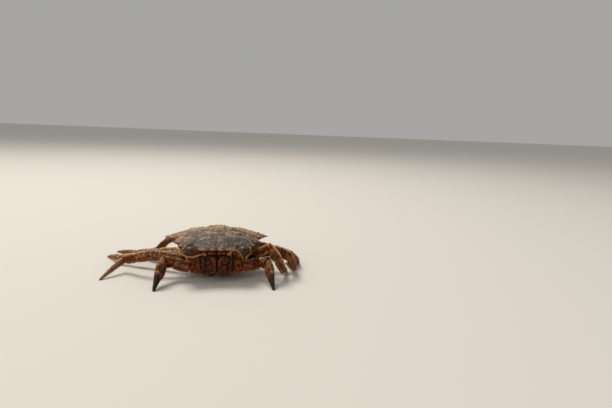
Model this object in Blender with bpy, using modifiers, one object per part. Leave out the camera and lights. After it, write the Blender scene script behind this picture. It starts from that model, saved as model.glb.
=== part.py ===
"""Helmet crab, a small marine shore crab, as a life-size still model.

The crab faces -Y and stands on the floor at z = 0. Its own left is +X. Every
shell plate, eye, feeler and leg segment is an object of its own. The left legs
are folded close to the body and the right legs are stretched out.
"""
import math

import bmesh
import bpy
from mathutils import Matrix, Vector

NAME = "helmet_crab"
MM = 0.001

# ---------------------------------------------------------------- sizes, in mm
GAP = 0.3  # between neighbouring shell pieces
CARAPACE_WIDTH = 40.0  # over the tips of the lateral spines
CARAPACE_LENGTH = 34.0
CARAPACE_CENTRE_Y = 16.0
FRONT_Z = 13.6  # edge of the carapace between the eyes
SPINE_Z = 15.8  # edge at the lateral spines
REAR_Z = 13.4  # edge at the rear
CREST_Z = 18.6  # top of the back
EDGE_THICKNESS = 0.7
PLATE_FLOOR_Z = 12.6  # flat underside of the carapace, inside its rim

# Half of the toothed edge, front middle to rear middle, as fractions of the
# half width and of the length: four blunt teeth between the eyes, the orbit,
# then the teeth of the side. The largest one is the lateral spine.
HALF_EDGE = (
    (0.000, 0.028), (0.070, 0.000), (0.140, 0.030), (0.225, 0.010),
    (0.310, 0.022), (0.345, 0.040), (0.365, 0.085), (0.480, 0.128),
    (0.590, 0.085), (0.622, 0.052), (0.608, 0.128), (0.706, 0.148),
    (0.660, 0.208), (0.798, 0.250), (0.748, 0.318), (1.000, 0.400),
    (0.800, 0.470), (0.898, 0.560), (0.768, 0.606), (0.788, 0.704),
    (0.655, 0.748), (0.550, 0.850), (0.420, 0.945), (0.375, 0.985),
    (0.190, 0.992), (0.000, 1.000),
)

# The body under the carapace, by height: half width, front and rear.
THORAX_TOP_Z = PLATE_FLOOR_Z - GAP
THORAX_BOTTOM_Z = 2.8
THORAX_LEVELS = (
    (THORAX_TOP_Z, (15.2, 3.9, 30.6)), (11.2, (15.3, 3.0, 30.8)), (9.6, (12.9, 2.7, 29.8)),
    (7.0, (11.8, 2.7, 28.6)), (4.8, (11.2, 2.9, 27.5)), (3.4, (10.3, 3.3, 26.2)),
    (THORAX_BOTTOM_Z, (8.6, 4.6, 24.8)),
)

# The tail flap: its middle line from under the carapace's rear, as (y, z),
# and how wide it is along that line.
ABDOMEN_THICKNESS = 0.9
ABDOMEN_FLAT_Z = THORAX_BOTTOM_Z - GAP - ABDOMEN_THICKNESS / 2
ABDOMEN_LINE = (
    (31.7, 12.0), (31.4, 10.6), (30.4, 9.2), (29.4, 7.0), (28.4, 4.8), (27.1, 3.0),
    (25.0, ABDOMEN_FLAT_Z), (11.0, ABDOMEN_FLAT_Z))
ABDOMEN_HALF_WIDTHS = ((0, 4.6), (0.25, 5.2), (0.45, 5.1), (0.75, 3.6), (0.95, 2.0), (1, 1.2))
ABDOMEN_WRAP = 0.015  # how it curves round the rear wall, per mm from the middle

EYE_RADIUS = 2.0
EYE_CENTRE = (9.6, 1.1, 12.7)
STALK_ROOT = (6.0, 1.7, 11.9)
STALK_RADIUS = 0.85

MAXILLIPED_SIZE = (5.4, 1.2, 7.8)  # width, thickness, height
MAXILLIPED_CENTRE = (2.95, 1.7, 6.9)
ANTENNULE_RADIUS = 0.55
FEELER_RADIUS = 0.32

# Walking leg segments of the second pair, in mm: length, height and thickness.
SEGMENTS = ("merus", "carpus", "propodus", "dactylus")
LEG_LENGTHS = (13.2, 4.8, 7.2, 12.6)
LEG_HEIGHTS = (3.5, 3.9, 3.7, 2.7)
LEG_WIDTHS = (2.3, 2.3, 2.0, 1.6)
PAIR_SCALE = {2: 1.0, 3: 1.15, 4: 1.13, 5: 0.90}
PAIR_THICKNESS = {2: 1.0, 3: 1.0, 4: 0.95, 5: 0.78}
PAIR_ROOT = {
    2: (13.3, 11.6, 7.5), 3: (13.3, 16.0, 7.4), 4: (12.8, 20.4, 7.6), 5: (11.0, 24.4, 8.2)}

CLAW_SEGMENTS = ("merus", "carpus", "palm")
CLAW_LENGTHS = (6.6, 4.2, 12.6)
CLAW_HEIGHTS = (4.2, 4.1, 5.0)
CLAW_WIDTHS = (2.9, 3.1, 3.3)
CLAW_ROOT = (9.8, 5.4, 5.2)
FINGER_SHARE = 0.56  # part of the claw's length that is finger

TIP_HEIGHT = 0.2  # the middle of a leg's tip is this high above the floor

# The pose. Each segment has an azimuth from the crab's own side (0 straight
# out, 90 straight back) and a rise above the level, in degrees. A last segment
# has no rise of its own, because it reaches down to the floor.
POSE = {
    ("left", 1): ((8, 13), (-46, 13), (-81,)),
    ("right", 1): ((10, 16), (-36, 22), (-74,)),
    ("left", 2): ((-56, 28), (-8, -55), (51, -51), (76,)),
    ("right", 2): ((1, 6), (28, -20), (34, -17), (-54,)),
    ("left", 3): ((-45, 17), (16, -34), (57, -45), (97,)),
    ("right", 3): ((24, -9), (25, -8), (25, -10), (55,)),
    ("left", 4): ((-27, 5), (34, -26), (54, -35), (86,)),
    ("right", 4): ((38, -11), (39, -11), (39, -12), (42,)),
    ("left", 5): ((48, -6), (10, -24), (48, -20), (62,)),
    ("right", 5): ((43, 10), (51, -29), (20, -43), (57,)),
}
# Where a limb's coxa would point at rest, by pair. It gives way a little to
# where the limb itself goes.
COXA_AZIMUTH = {1: -25, 2: -5, 3: 0, 4: 12, 5: 30}
COXA_RISE = 5
COXA_YIELD = 0.45
COXA_LENGTH = 5.0

SIDE_COUNT = 10  # sides of a leg segment
RING_COUNT = 3  # rings between a leg segment's ends

COLOURS = {
    "carapace": ((0.160, 0.115, 0.080), 0.62),
    "thorax": ((0.150, 0.050, 0.018), 0.60),
    "leg": ((0.250, 0.095, 0.032), 0.58),
    "finger": ((0.022, 0.015, 0.012), 0.35),
    "eye": ((0.045, 0.035, 0.026), 0.12),
    "feeler": ((0.360, 0.190, 0.062), 0.50),
}


# ------------------------------------------------------------------- the scene
def clear_scene():
    for item in list(bpy.data.objects):
        bpy.data.objects.remove(item, do_unlink=True)


def new_collection(name):
    collection = bpy.data.collections.new(name)
    bpy.context.scene.collection.children.link(collection)
    return collection


def make_materials():
    made = {}
    for name, (colour, roughness) in COLOURS.items():
        material = bpy.data.materials.new(name)
        material.use_nodes = True
        shader = material.node_tree.nodes["Principled BSDF"]
        shader.inputs["Base Color"].default_value = (*colour, 1.0)
        shader.inputs["Roughness"].default_value = roughness
        shader.inputs["Metallic"].default_value = 0.0
        made[name] = material
    return made


def object_from(bm, name, material, matrix=None, sharp=40):
    """A mesh object from a bmesh whose sizes are in millimetres."""
    bm.normal_update()
    bmesh.ops.recalc_face_normals(bm, faces=bm.faces)
    bmesh.ops.scale(bm, vec=(MM, MM, MM), verts=bm.verts)
    mesh = bpy.data.meshes.new(name)
    bm.to_mesh(mesh)
    bm.free()
    mesh.shade_smooth()
    mesh.set_sharp_from_angle(angle=math.radians(sharp))
    mesh.materials.append(material)
    item = bpy.data.objects.new(name, mesh)
    CRAB.objects.link(item)
    item.parent = STANDING
    if matrix is not None:
        item.matrix_local = matrix
    return item


def make_cutter(item):
    """Turns an object into a hidden tool for a Boolean."""
    CRAB.objects.unlink(item)
    CUTTERS.objects.link(item)
    item.hide_render = True
    item.display_type = "WIRE"
    return item


def add_boolean(item, cutter, operation):
    modifier = item.modifiers.new(operation.title(), "BOOLEAN")
    modifier.operation = operation
    modifier.object = cutter
    modifier.solver = "EXACT"


# ------------------------------------------------------------- small geometry
def smooth_step(low, high, value):
    share = min(max((value - low) / (high - low), 0.0), 1.0)
    return share * share * (3.0 - 2.0 * share)


def blend(first, second, share):
    return first + (second - first) * share


def through(stops, position):
    """The value at a position on a line through (position, value) stops."""
    for (low, low_value), (high, high_value) in zip(stops, stops[1:]):
        if position <= high:
            share = max((position - low) / (high - low), 0.0)
            return blend(low_value, high_value, share)
    return stops[-1][1]


def direction(side, azimuth, rise):
    """A unit vector from a side, an azimuth and a rise in degrees."""
    sign = 1 if side == "left" else -1
    turn = math.radians(azimuth)
    lift = math.radians(rise)
    flat = math.cos(lift)
    return Vector((sign * flat * math.cos(turn), flat * math.sin(turn), math.sin(lift)))


def segment_matrix(start, along):
    """Local X runs along the segment, Y across it and Z is its height."""
    across = Vector((0.0, 0.0, 1.0)).cross(along).normalized()
    up = along.cross(across)
    matrix = Matrix((along, across, up)).transposed().to_4x4()
    matrix.translation = start * MM
    return matrix


def cut_away(bm, point, outward):
    """Removes what lies beyond a plane and closes the cut."""
    geometry = bm.verts[:] + bm.edges[:] + bm.faces[:]
    cut = bmesh.ops.bisect_plane(
        bm, geom=geometry, dist=1e-5, plane_co=point, plane_no=outward, clear_outer=True)
    edges = [part for part in cut["geom_cut"] if isinstance(part, bmesh.types.BMEdge)]
    if edges:
        bmesh.ops.edgeloop_fill(bm, edges=edges)


# -------------------------------------------------------------- the carapace
def edge_points():
    """The whole toothed edge, once round from the front middle."""
    half = [
        Vector((x * CARAPACE_WIDTH / 2, y * CARAPACE_LENGTH)) for x, y in HALF_EDGE]
    fine = []
    for first, second in zip(half, half[1:]):
        fine.append(first)
        if (second - first).length > 3.2:
            fine.append((first + second) / 2)
    fine.append(half[-1])
    mirrored = [Vector((-point.x, point.y)) for point in reversed(fine[1:-1])]
    return fine + mirrored


def smoothed(points, rounds):
    """The same closed line with its teeth worn away."""
    for _ in range(rounds):
        count = len(points)
        points = [
            (points[index - 1] + points[index] * 2 + points[(index + 1) % count]) / 4
            for index in range(count)]
    return points


def edge_height(point):
    """Height of the carapace's edge: it rises to the lateral spines."""
    spine_y = 0.4 * CARAPACE_LENGTH
    if point.y < spine_y:
        return blend(FRONT_Z, SPINE_Z, smooth_step(0.0, spine_y, point.y))
    return blend(SPINE_Z, REAR_Z, smooth_step(spine_y, CARAPACE_LENGTH, point.y))


def region_relief(x, y):
    """The low swellings of the back and the grooves between them."""
    side = abs(x)
    stomach = 0.30 * math.exp(-(side / 4.6) ** 2 - ((y - 10.0) / 4.6) ** 2)
    heart = 0.28 * math.exp(-(side / 3.4) ** 2 - ((y - 22.0) / 3.6) ** 2)
    gill = 0.25 * math.exp(-((side - 10.0) / 3.6) ** 2 - ((y - 19.5) / 5.5) ** 2)
    groove = -0.30 * math.exp(-((side - 5.8) / 1.3) ** 2 - ((y - 17.0) / 6.0) ** 2)
    return stomach + heart + gill + groove


def carapace_bmesh():
    edge = edge_points()
    worn = smoothed(edge, 3)
    centre = Vector((0.0, CARAPACE_CENTRE_Y))
    rings = 14
    bm = bmesh.new()
    bmesh.ops.create_uvsphere(bm, u_segments=len(edge), v_segments=rings, radius=1.0)
    for vert in bm.verts:
        turn = math.atan2(vert.co.x, -vert.co.y) % (2 * math.pi)
        index = round(turn / (2 * math.pi) * len(edge)) % len(edge)
        share = min(math.hypot(vert.co.x, vert.co.y), 1.0)
        inner = centre + (worn[index] - centre) * 0.93
        if share < 0.93:
            spot = centre + (inner - centre) * (share / 0.93)
        else:
            spot = inner.lerp(edge[index], (share - 0.93) / 0.07)
        rim = edge_height(edge[index])
        if vert.co.z > -1e-4:
            height = blend(CREST_Z, rim, share ** 1.7)
            height += region_relief(spot.x, spot.y) * (1.0 - share ** 4)
        else:
            inside = smooth_step(1.0, 0.62, share)
            height = blend(rim - EDGE_THICKNESS, PLATE_FLOOR_Z, inside)
        vert.co = (spot.x, spot.y, height)
    return bm


# ----------------------------------------------------------- the body beneath
def thorax_bmesh():
    """The body under the carapace: it narrows towards the breast plate."""
    outline = smoothed(edge_points(), 8)[::2]
    wide = max(point.x for point in outline)
    front = min(point.y for point in outline)
    rear = max(point.y for point in outline)
    rings = len(THORAX_LEVELS) + 3
    bm = bmesh.new()
    bmesh.ops.create_uvsphere(bm, u_segments=len(outline), v_segments=rings, radius=1.0)
    for vert in bm.verts:
        turn = math.atan2(vert.co.x, -vert.co.y) % (2 * math.pi)
        index = round(turn / (2 * math.pi) * len(outline)) % len(outline)
        ring = round(math.acos(min(max(vert.co.z, -1.0), 1.0)) / math.pi * rings)
        level = min(max(ring - 2, 0), len(THORAX_LEVELS) - 1)
        height, (half_width, front_y, rear_y) = THORAX_LEVELS[level]
        across = outline[index].x / wide * half_width
        along = blend(front_y, rear_y, (outline[index].y - front) / (rear - front))
        middle = (front_y + rear_y) / 2
        if ring in (0, rings):
            across, along = 0.0, middle
        elif ring == 1:
            across, along = across * 0.5, blend(middle, along, 0.5)
        vert.co = (across, along, height)
    return bm


def abdomen_bmesh():
    """The narrow tail flap: down the rear of the body, then forward under it."""
    line = [Vector(place) for place in ABDOMEN_LINE]
    steps = [(second - first).length for first, second in zip(line, line[1:])]
    along = [sum(steps[:index]) / sum(steps) for index in range(len(line))]
    bm = bmesh.new()
    bmesh.ops.create_cube(bm, size=1.0)
    lengthwise = [edge for edge in bm.edges if abs(edge.verts[0].co.y - edge.verts[1].co.y) > 0.5]
    bmesh.ops.subdivide_edges(bm, edges=lengthwise, cuts=29)
    crosswise = [edge for edge in bm.edges if abs(edge.verts[0].co.x - edge.verts[1].co.x) > 0.5]
    bmesh.ops.subdivide_edges(bm, edges=crosswise, cuts=3)
    for vert in bm.verts:
        share = vert.co.y + 0.5
        spot = through(tuple(zip(along, line)), share)
        ahead = through(tuple(zip(along, line)), min(share + 0.03, 1.0))
        behind = through(tuple(zip(along, line)), max(share - 0.03, 0.0))
        way = (ahead - behind).normalized()
        outward = Vector((-way.y, way.x)) * vert.co.z * ABDOMEN_THICKNESS
        across = vert.co.x * 2 * through(ABDOMEN_HALF_WIDTHS, share)
        wrap = ABDOMEN_WRAP * across ** 2 * smooth_step(3.0, 6.0, spot.y)
        vert.co = (across, spot.x + outward.x - wrap, spot.y + outward.y)
    return bm


def maxilliped_bmesh(sign):
    """One of the two flat plates that close over the mouth."""
    bm = bmesh.new()
    bmesh.ops.create_cube(bm, size=1.0)
    upright = [edge for edge in bm.edges if abs(edge.verts[0].co.z - edge.verts[1].co.z) > 0.5]
    bmesh.ops.subdivide_edges(bm, edges=upright, cuts=3)
    for vert in bm.verts:
        drop = 0.5 - vert.co.z
        taper = through(((0, 0.78), (0.25, 1.0), (0.62, 0.92), (1, 0.55)), drop)
        outer = (vert.co.x + 0.5) * taper - 0.5
        vert.co.x = sign * (MAXILLIPED_CENTRE[0] + MAXILLIPED_SIZE[0] * outer)
        vert.co.y = MAXILLIPED_CENTRE[1] + MAXILLIPED_SIZE[1] * (vert.co.y * 0.9 + 0.1)
        vert.co.y += 0.9 * max(0.0, drop - 0.6)
        vert.co.z = MAXILLIPED_CENTRE[2] + MAXILLIPED_SIZE[2] * vert.co.z
    bm.normal_update()
    bmesh.ops.recalc_face_normals(bm, faces=bm.faces)
    front = [edge for edge in bm.edges if edge.calc_face_angle(0.0) > 1.2]
    bmesh.ops.bevel(
        bm, geom=front, offset=0.28, offset_type="OFFSET", segments=1, profile=0.5,
        affect="EDGES", material=-1)
    return bm


# ------------------------------------------------------------ eyes and feelers
def turned(name, profile, material, matrix, steps=16):
    """A solid of revolution from (radius, height) pairs, bottom to top."""
    mesh = bpy.data.meshes.new(name)
    points = [(radius * MM, 0.0, height * MM) for radius, height in reversed(profile)]
    edges = [(index, index + 1) for index in range(len(points) - 1)]
    mesh.from_pydata(points, edges, [])
    mesh.materials.append(material)
    item = bpy.data.objects.new(name, mesh)
    CRAB.objects.link(item)
    item.parent = STANDING
    item.matrix_local = matrix
    screw = item.modifiers.new("Turn", "SCREW")
    screw.steps = steps
    screw.render_steps = steps
    screw.use_merge_vertices = True
    screw.merge_threshold = 0.00001
    screw.use_smooth_shade = True
    return item


def add_eye(side, materials):
    sign = 1 if side == "left" else -1
    centre = Vector((sign * EYE_CENTRE[0], EYE_CENTRE[1], EYE_CENTRE[2]))
    root = Vector((sign * STALK_ROOT[0], STALK_ROOT[1], STALK_ROOT[2]))
    along = (centre - root).normalized()
    matrix = along.to_track_quat("Z", "Y").to_matrix().to_4x4()
    matrix.translation = centre * MM
    reach = (centre - root).length
    split = -0.75  # the cornea begins a little behind the middle of the eye
    dome = [(0.0, split)]
    for step in range(7):
        low = math.asin(split / EYE_RADIUS)
        lift = blend(low, math.pi / 2, step / 6)
        radius = EYE_RADIUS * math.cos(lift) if step < 6 else 0.0
        dome.append((radius, EYE_RADIUS * math.sin(lift)))
    turned(f"cornea_{side}", dome, materials["eye"], matrix)
    neck = split - GAP
    cup = math.sqrt(EYE_RADIUS ** 2 - neck ** 2)
    stalk = [
        (0.0, -reach), (STALK_RADIUS * 0.8, -reach), (STALK_RADIUS, -reach * 0.6),
        (cup * 0.82, neck - 0.45), (cup * 0.97, neck), (0.0, neck)]
    turned(f"eyestalk_{side}", stalk, materials["leg"], matrix)


def add_feeler(name, points, radius, material):
    """A thin round feeler along a smooth bend through a few places."""
    curve = bpy.data.curves.new(name, "CURVE")
    curve.dimensions = "3D"
    curve.bevel_depth = radius * MM
    curve.bevel_resolution = 1
    curve.use_fill_caps = True
    spline = curve.splines.new("POLY")
    smooth = []
    padded = [points[0] * 2 - points[1], *points, points[-1] * 2 - points[-2]]
    for index in range(1, len(padded) - 2):
        before, first, second, after = padded[index - 1:index + 3]
        for step in range(4):
            share = step / 4
            smooth.append(0.5 * (
                first * 2 + (second - before) * share
                + (before * 2 - first * 5 + second * 4 - after) * share ** 2
                + (first * 3 - before - second * 3 + after) * share ** 3))
    smooth.append(points[-1])
    spline.points.add(len(smooth) - 1)
    for index, point in enumerate(smooth):
        spline.points[index].co = (*(point * MM), 1.0)
        spline.points[index].radius = blend(1.0, 0.8, index / (len(smooth) - 1))
    curve.materials.append(material)
    item = bpy.data.objects.new(name, curve)
    CRAB.objects.link(item)
    item.parent = STANDING


def add_feelers(materials):
    right = [
        (-4.6, 1.4, 11.9), (-6.8, -0.5, 11.6), (-8.8, -1.3, 11.4), (-11.0, -1.3, 11.7),
        (-13.6, 0.0, 12.6), (-17.9, 2.6, 13.4)]
    left = [
        (4.6, 1.4, 11.9), (5.0, -0.6, 13.0), (6.3, -1.6, 13.9), (7.9, -1.7, 13.3),
        (9.1, -1.4, 11.4), (9.5, -0.9, 9.8)]
    for side, route in (("right", right), ("left", left)):
        points = [Vector(place) for place in route]
        add_feeler(f"antenna_{side}", points, FEELER_RADIUS, materials["feeler"])
    folded = ((0.9, 1.9, 11.9), (2.2, 0.8, 12.1), (3.3, 1.3, 11.9))
    for side, sign in (("right", -1), ("left", 1)):
        points = [Vector((sign * x, y, z)) for x, y, z in folded]
        add_feeler(f"antennule_{side}", points, ANTENNULE_RADIUS, materials["thorax"])


# ------------------------------------------------------------------- the limbs
HEIGHT_STOPS = {
    "merus": ((0, 0.78), (0.5, 1.0), (0.85, 1.0), (1, 0.84)),
    "carpus": ((0, 0.72), (0.6, 1.0), (1, 0.95)),
    "propodus": ((0, 0.88), (0.3, 1.0), (1, 0.80)),
    "dactylus": ((0, 1.0), (0.3, 0.84), (0.75, 0.50), (1, 0.22)),
    "claw": ((0, 0.60), (0.16, 0.88), (0.36, 1.0), (0.5, 0.86), (0.8, 0.44), (1, 0.22)),
}
CLAW_WIDTH_STOPS = ((0, 0.66), (0.16, 0.90), (0.36, 1.0), (0.5, 0.72), (0.8, 0.45), (1, 0.26))


def joint_positions(side, pair):
    """The limb's joints from its root to its tip, and its directions."""
    sign = 1 if side == "left" else -1
    root = CLAW_ROOT if pair == 1 else PAIR_ROOT[pair]
    lengths = CLAW_LENGTHS if pair == 1 else [
        length * PAIR_SCALE[pair] for length in LEG_LENGTHS]
    place = Vector((sign * root[0], root[1], root[2]))
    joints = [place]
    directions = []
    for length, angles in zip(lengths, POSE[(side, pair)]):
        if len(angles) == 2:
            rise = angles[1]
        else:
            rise = math.degrees(math.asin((TIP_HEIGHT - place.z) / length))
        along = direction(side, angles[0], rise)
        place = place + along * length
        joints.append(place)
        directions.append(along)
    return joints, directions


def coxa_direction(side, pair):
    """Which way the root of a limb points."""
    azimuth, rise = POSE[(side, pair)][0]
    return direction(
        side, blend(COXA_AZIMUTH[pair], azimuth, COXA_YIELD), blend(COXA_RISE, rise, COXA_YIELD))


def tube_bmesh(length, overhang, height, width, stops, bow, width_stops=None):
    """A flattened tube along X, longer than the segment by its overhangs."""
    before, after = overhang
    bm = bmesh.new()
    bmesh.ops.create_cone(
        bm, cap_ends=True, segments=SIDE_COUNT, radius1=1.0, radius2=1.0, depth=1.0)
    lengthwise = [edge for edge in bm.edges if abs(edge.verts[0].co.z - edge.verts[1].co.z) > 0.5]
    bmesh.ops.subdivide_edges(bm, edges=lengthwise, cuts=RING_COUNT)
    for vert in bm.verts:
        reach = blend(-before, length + after, vert.co.z + 0.5)
        share = min(max(reach / length, 0.0), 1.0)
        fullness = through(stops, share)
        wideness = through(width_stops, share) if width_stops else blend(1.0, fullness, 0.85)
        across = vert.co.x * width / 2 * wideness
        up = vert.co.y * height / 2 * fullness
        vert.co = (reach, across, up + bow * math.sin(math.pi * share))
    return bm


def mitred(bm, matrix, start, end, before, along, after):
    """Cuts a segment's ends on the planes that halve its two bends."""
    local = Matrix.Diagonal((MM, MM, MM, 1.0)).inverted() @ matrix.inverted()
    turned_back = matrix.to_3x3().inverted()
    if before is not None:
        normal = (before + along).normalized()
        cut_away(bm, local @ ((start + normal * GAP / 2) * MM), turned_back @ -normal)
    if after is not None:
        normal = (along + after).normalized()
        cut_away(bm, local @ ((end - normal * GAP / 2) * MM), turned_back @ normal)
    else:
        floor = Vector((end.x, end.y, 0.0))
        cut_away(bm, local @ (floor * MM), turned_back @ Vector((0.0, 0.0, -1.0)))
    return bm


def limb_segment(joints, directions, index, sizes, stops, bow, first, width_stops=None):
    """One segment's bmesh and its matrix, cut to meet its neighbours."""
    length, height, width = sizes
    along = directions[index]
    before = directions[index - 1] if index else first
    last = index == len(directions) - 1
    after = None if last else directions[index + 1]
    bend = [height / 2 * math.tan(along.angle(other) / 2) + GAP for other in (before, after) if other]
    overhang = (bend[0], 0.0 if last else bend[1])
    matrix = segment_matrix(joints[index], along)
    bm = tube_bmesh(length, overhang, height, width, stops, bow, width_stops)
    mitred(bm, matrix, joints[index], joints[index + 1], before, along, after)
    return bm, matrix


def add_walking_leg(side, pair, materials):
    joints, directions = joint_positions(side, pair)
    first = coxa_direction(side, pair)
    for index, part in enumerate(SEGMENTS):
        thickness = PAIR_THICKNESS[pair]
        sizes = (
            LEG_LENGTHS[index] * PAIR_SCALE[pair],
            LEG_HEIGHTS[index] * thickness, LEG_WIDTHS[index] * thickness)
        bow = 0.35 if part == "dactylus" else 0.0
        bm, matrix = limb_segment(
            joints, directions, index, sizes, HEIGHT_STOPS[part], bow, first)
        object_from(bm, f"leg{pair}_{part}_{side}", materials["leg"], matrix)


def finger_box(name, matrix, size, centre, material):
    bm = bmesh.new()
    bmesh.ops.create_cube(bm, size=1.0)
    bmesh.ops.scale(bm, vec=size, verts=bm.verts)
    bmesh.ops.translate(bm, vec=centre, verts=bm.verts)
    return make_cutter(object_from(bm, name, material, matrix))


def add_claw_leg(side, materials):
    """The claw is one shape, parted by a box into palm and moving finger."""
    joints, directions = joint_positions(side, 1)
    first = coxa_direction(side, 1)
    for index, part in enumerate(CLAW_SEGMENTS[:2]):
        sizes = (CLAW_LENGTHS[index], CLAW_HEIGHTS[index], CLAW_WIDTHS[index])
        bm, matrix = limb_segment(
            joints, directions, index, sizes, HEIGHT_STOPS[part], 0.0, first)
        object_from(bm, f"claw_{part}_{side}", materials["leg"], matrix)
    sizes = (CLAW_LENGTHS[2], CLAW_HEIGHTS[2], CLAW_WIDTHS[2])
    bm, matrix = limb_segment(
        joints, directions, 2, sizes, HEIGHT_STOPS["claw"], 0.5, first, CLAW_WIDTH_STOPS)
    palm = object_from(bm.copy(), f"claw_palm_{side}", materials["leg"], matrix)
    finger = object_from(bm, f"claw_finger_{side}", materials["finger"], matrix)
    knuckle = CLAW_LENGTHS[2] * (1 - FINGER_SHARE)
    split = 0.45  # height of the line between the fingers
    room = 8.0
    for item, operation, gap in ((palm, "DIFFERENCE", 0.0), (finger, "INTERSECT", GAP)):
        size = (room, room, room)
        centre = (knuckle + gap + room / 2, 0.0, split + gap + room / 2)
        box = finger_box(f"cut_{item.name}", matrix, size, centre, materials["finger"])
        add_boolean(item, box, operation)


def add_coxae(body, materials):
    """The short root of every limb, joined to the body."""
    for side in ("left", "right"):
        sign = 1 if side == "left" else -1
        for pair in range(1, 6):
            root = CLAW_ROOT if pair == 1 else PAIR_ROOT[pair]
            start_height = CLAW_HEIGHTS[0] if pair == 1 else LEG_HEIGHTS[0]
            start_width = CLAW_WIDTHS[0] if pair == 1 else LEG_WIDTHS[0]
            along = coxa_direction(side, pair)
            joints, directions = joint_positions(side, pair)
            end = Vector((sign * root[0], root[1], root[2]))
            start = end - along * COXA_LENGTH
            matrix = segment_matrix(start, along)
            bend = start_height / 2 * math.tan(along.angle(directions[0]) / 2) + GAP
            bm = tube_bmesh(
                COXA_LENGTH, (0.0, bend), start_height * 0.9, start_width * 1.15,
                ((0, 1.0), (0.7, 1.0), (1, 0.82)), 0.0)
            mitred(bm, matrix, start, end, None, along, directions[0])
            item = object_from(bm, f"coxa{pair}_{side}", materials["thorax"], matrix)
            add_boolean(body, make_cutter(item), "UNION")


# -------------------------------------------------------------------- assembly
def stand_at_origin():
    """Moves the crab so that the middle of its footprint is the origin."""
    bpy.context.view_layer.update()
    depsgraph = bpy.context.evaluated_depsgraph_get()
    corners = []
    for item in CRAB.objects:
        if item.type == "EMPTY":
            continue
        shape = item.evaluated_get(depsgraph)
        mesh = shape.to_mesh()
        corners += [shape.matrix_world @ vert.co for vert in mesh.vertices]
        shape.to_mesh_clear()
    middle_x = (min(c.x for c in corners) + max(c.x for c in corners)) / 2
    middle_y = (min(c.y for c in corners) + max(c.y for c in corners)) / 2
    STANDING.location = (-middle_x, -middle_y, 0.0)


def build():
    materials = make_materials()
    object_from(carapace_bmesh(), "carapace", materials["carapace"])
    body = object_from(thorax_bmesh(), "thorax", materials["thorax"])
    object_from(abdomen_bmesh(), "abdomen", materials["thorax"])
    add_coxae(body, materials)
    for side, sign in (("left", 1), ("right", -1)):
        object_from(maxilliped_bmesh(sign), f"maxilliped_{side}", materials["thorax"])
        add_eye(side, materials)
        add_claw_leg(side, materials)
        for pair in PAIR_ROOT:
            add_walking_leg(side, pair, materials)
    add_feelers(materials)
    stand_at_origin()


clear_scene()
CRAB = new_collection(NAME)
CUTTERS = new_collection("cutters")
STANDING = bpy.data.objects.new(f"{NAME}_frame", None)
CRAB.objects.link(STANDING)
build()
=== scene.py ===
"""Helmet crab, a small marine shore crab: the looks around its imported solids.

The crab faces -Y, its own left is +X and the floor is z = 0. Shapes are worked
out in millimetres from the crab's own origin, on the floor below the middle of
its front edge. They go to metres in the frame when a piece is finished.
"""
import math

import bmesh
import bpy
import numpy as np
from mathutils import Euler, Matrix, Vector, noise
from mathutils.kdtree import KDTree


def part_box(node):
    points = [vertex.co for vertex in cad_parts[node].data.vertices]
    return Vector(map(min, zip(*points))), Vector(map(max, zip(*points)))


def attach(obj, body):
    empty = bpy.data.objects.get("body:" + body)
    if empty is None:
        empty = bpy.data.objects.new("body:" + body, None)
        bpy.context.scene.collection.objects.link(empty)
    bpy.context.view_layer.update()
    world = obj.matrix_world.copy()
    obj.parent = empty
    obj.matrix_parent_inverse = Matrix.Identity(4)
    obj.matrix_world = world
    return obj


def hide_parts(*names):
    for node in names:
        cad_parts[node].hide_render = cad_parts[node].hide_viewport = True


MM = 0.001
SIGN = {"left": 1, "right": -1}
SHELL_CLEARANCE, BRISTLE_CLEARANCE = 0.00002, 0.00001  # above the floor, in m
MERGE_DISTANCE = 1e-5  # for the seams and ends of shells, in mm

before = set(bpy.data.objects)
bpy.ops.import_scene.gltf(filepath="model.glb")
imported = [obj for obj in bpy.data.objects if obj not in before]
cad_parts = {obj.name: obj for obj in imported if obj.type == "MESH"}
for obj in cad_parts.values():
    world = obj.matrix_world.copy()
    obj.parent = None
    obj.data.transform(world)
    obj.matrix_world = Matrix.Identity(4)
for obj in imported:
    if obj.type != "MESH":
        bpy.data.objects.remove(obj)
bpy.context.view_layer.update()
BACK_LOW, BACK_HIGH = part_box("carapace")
ORIGIN = Vector(((BACK_LOW.x + BACK_HIGH.x) / 2, BACK_LOW.y, 0.0))

# ---------------------------------------------------------------- sizes, in mm
CARAPACE_WIDTH = (BACK_HIGH.x - BACK_LOW.x) / MM
CARAPACE_LENGTH = (BACK_HIGH.y - BACK_LOW.y) / MM
CARAPACE_CENTRE_Y = 16.0
FRONT_Z = 13.6  # edge of the carapace between the eyes
SPINE_Z = 15.8  # edge at the lateral spines
REAR_Z = 13.4  # edge at the rear
CREST_Z = 18.6  # top of the back
EDGE_THICKNESS = 0.7
PLATE_FLOOR_Z = 12.6  # underside of the carapace, inside its rim

# Half of the toothed edge, front middle to rear middle, as fractions of the
# half width and of the length: four blunt teeth between the eyes, the orbit,
# then the teeth of the side. The largest one is the lateral spine.
HALF_EDGE = (
    (0.000, 0.028), (0.070, 0.000), (0.140, 0.030), (0.225, 0.010),
    (0.310, 0.022), (0.345, 0.040), (0.365, 0.085), (0.480, 0.128),
    (0.590, 0.085), (0.622, 0.052), (0.608, 0.128), (0.706, 0.148),
    (0.660, 0.208), (0.798, 0.250), (0.748, 0.318), (1.000, 0.400),
    (0.800, 0.470), (0.898, 0.560), (0.768, 0.606), (0.788, 0.704),
    (0.655, 0.748), (0.550, 0.850), (0.420, 0.945), (0.375, 0.985),
    (0.190, 0.992), (0.000, 1.000),
)
DENTICLE_SPACING = 0.80
DENTICLE_HEIGHT = 0.20
EDGE_STEP = 0.12  # between the points that the edge is drawn with
TOOTH_DEPTH = 2.6  # how far the edge is worn back to find the line behind its teeth
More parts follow.
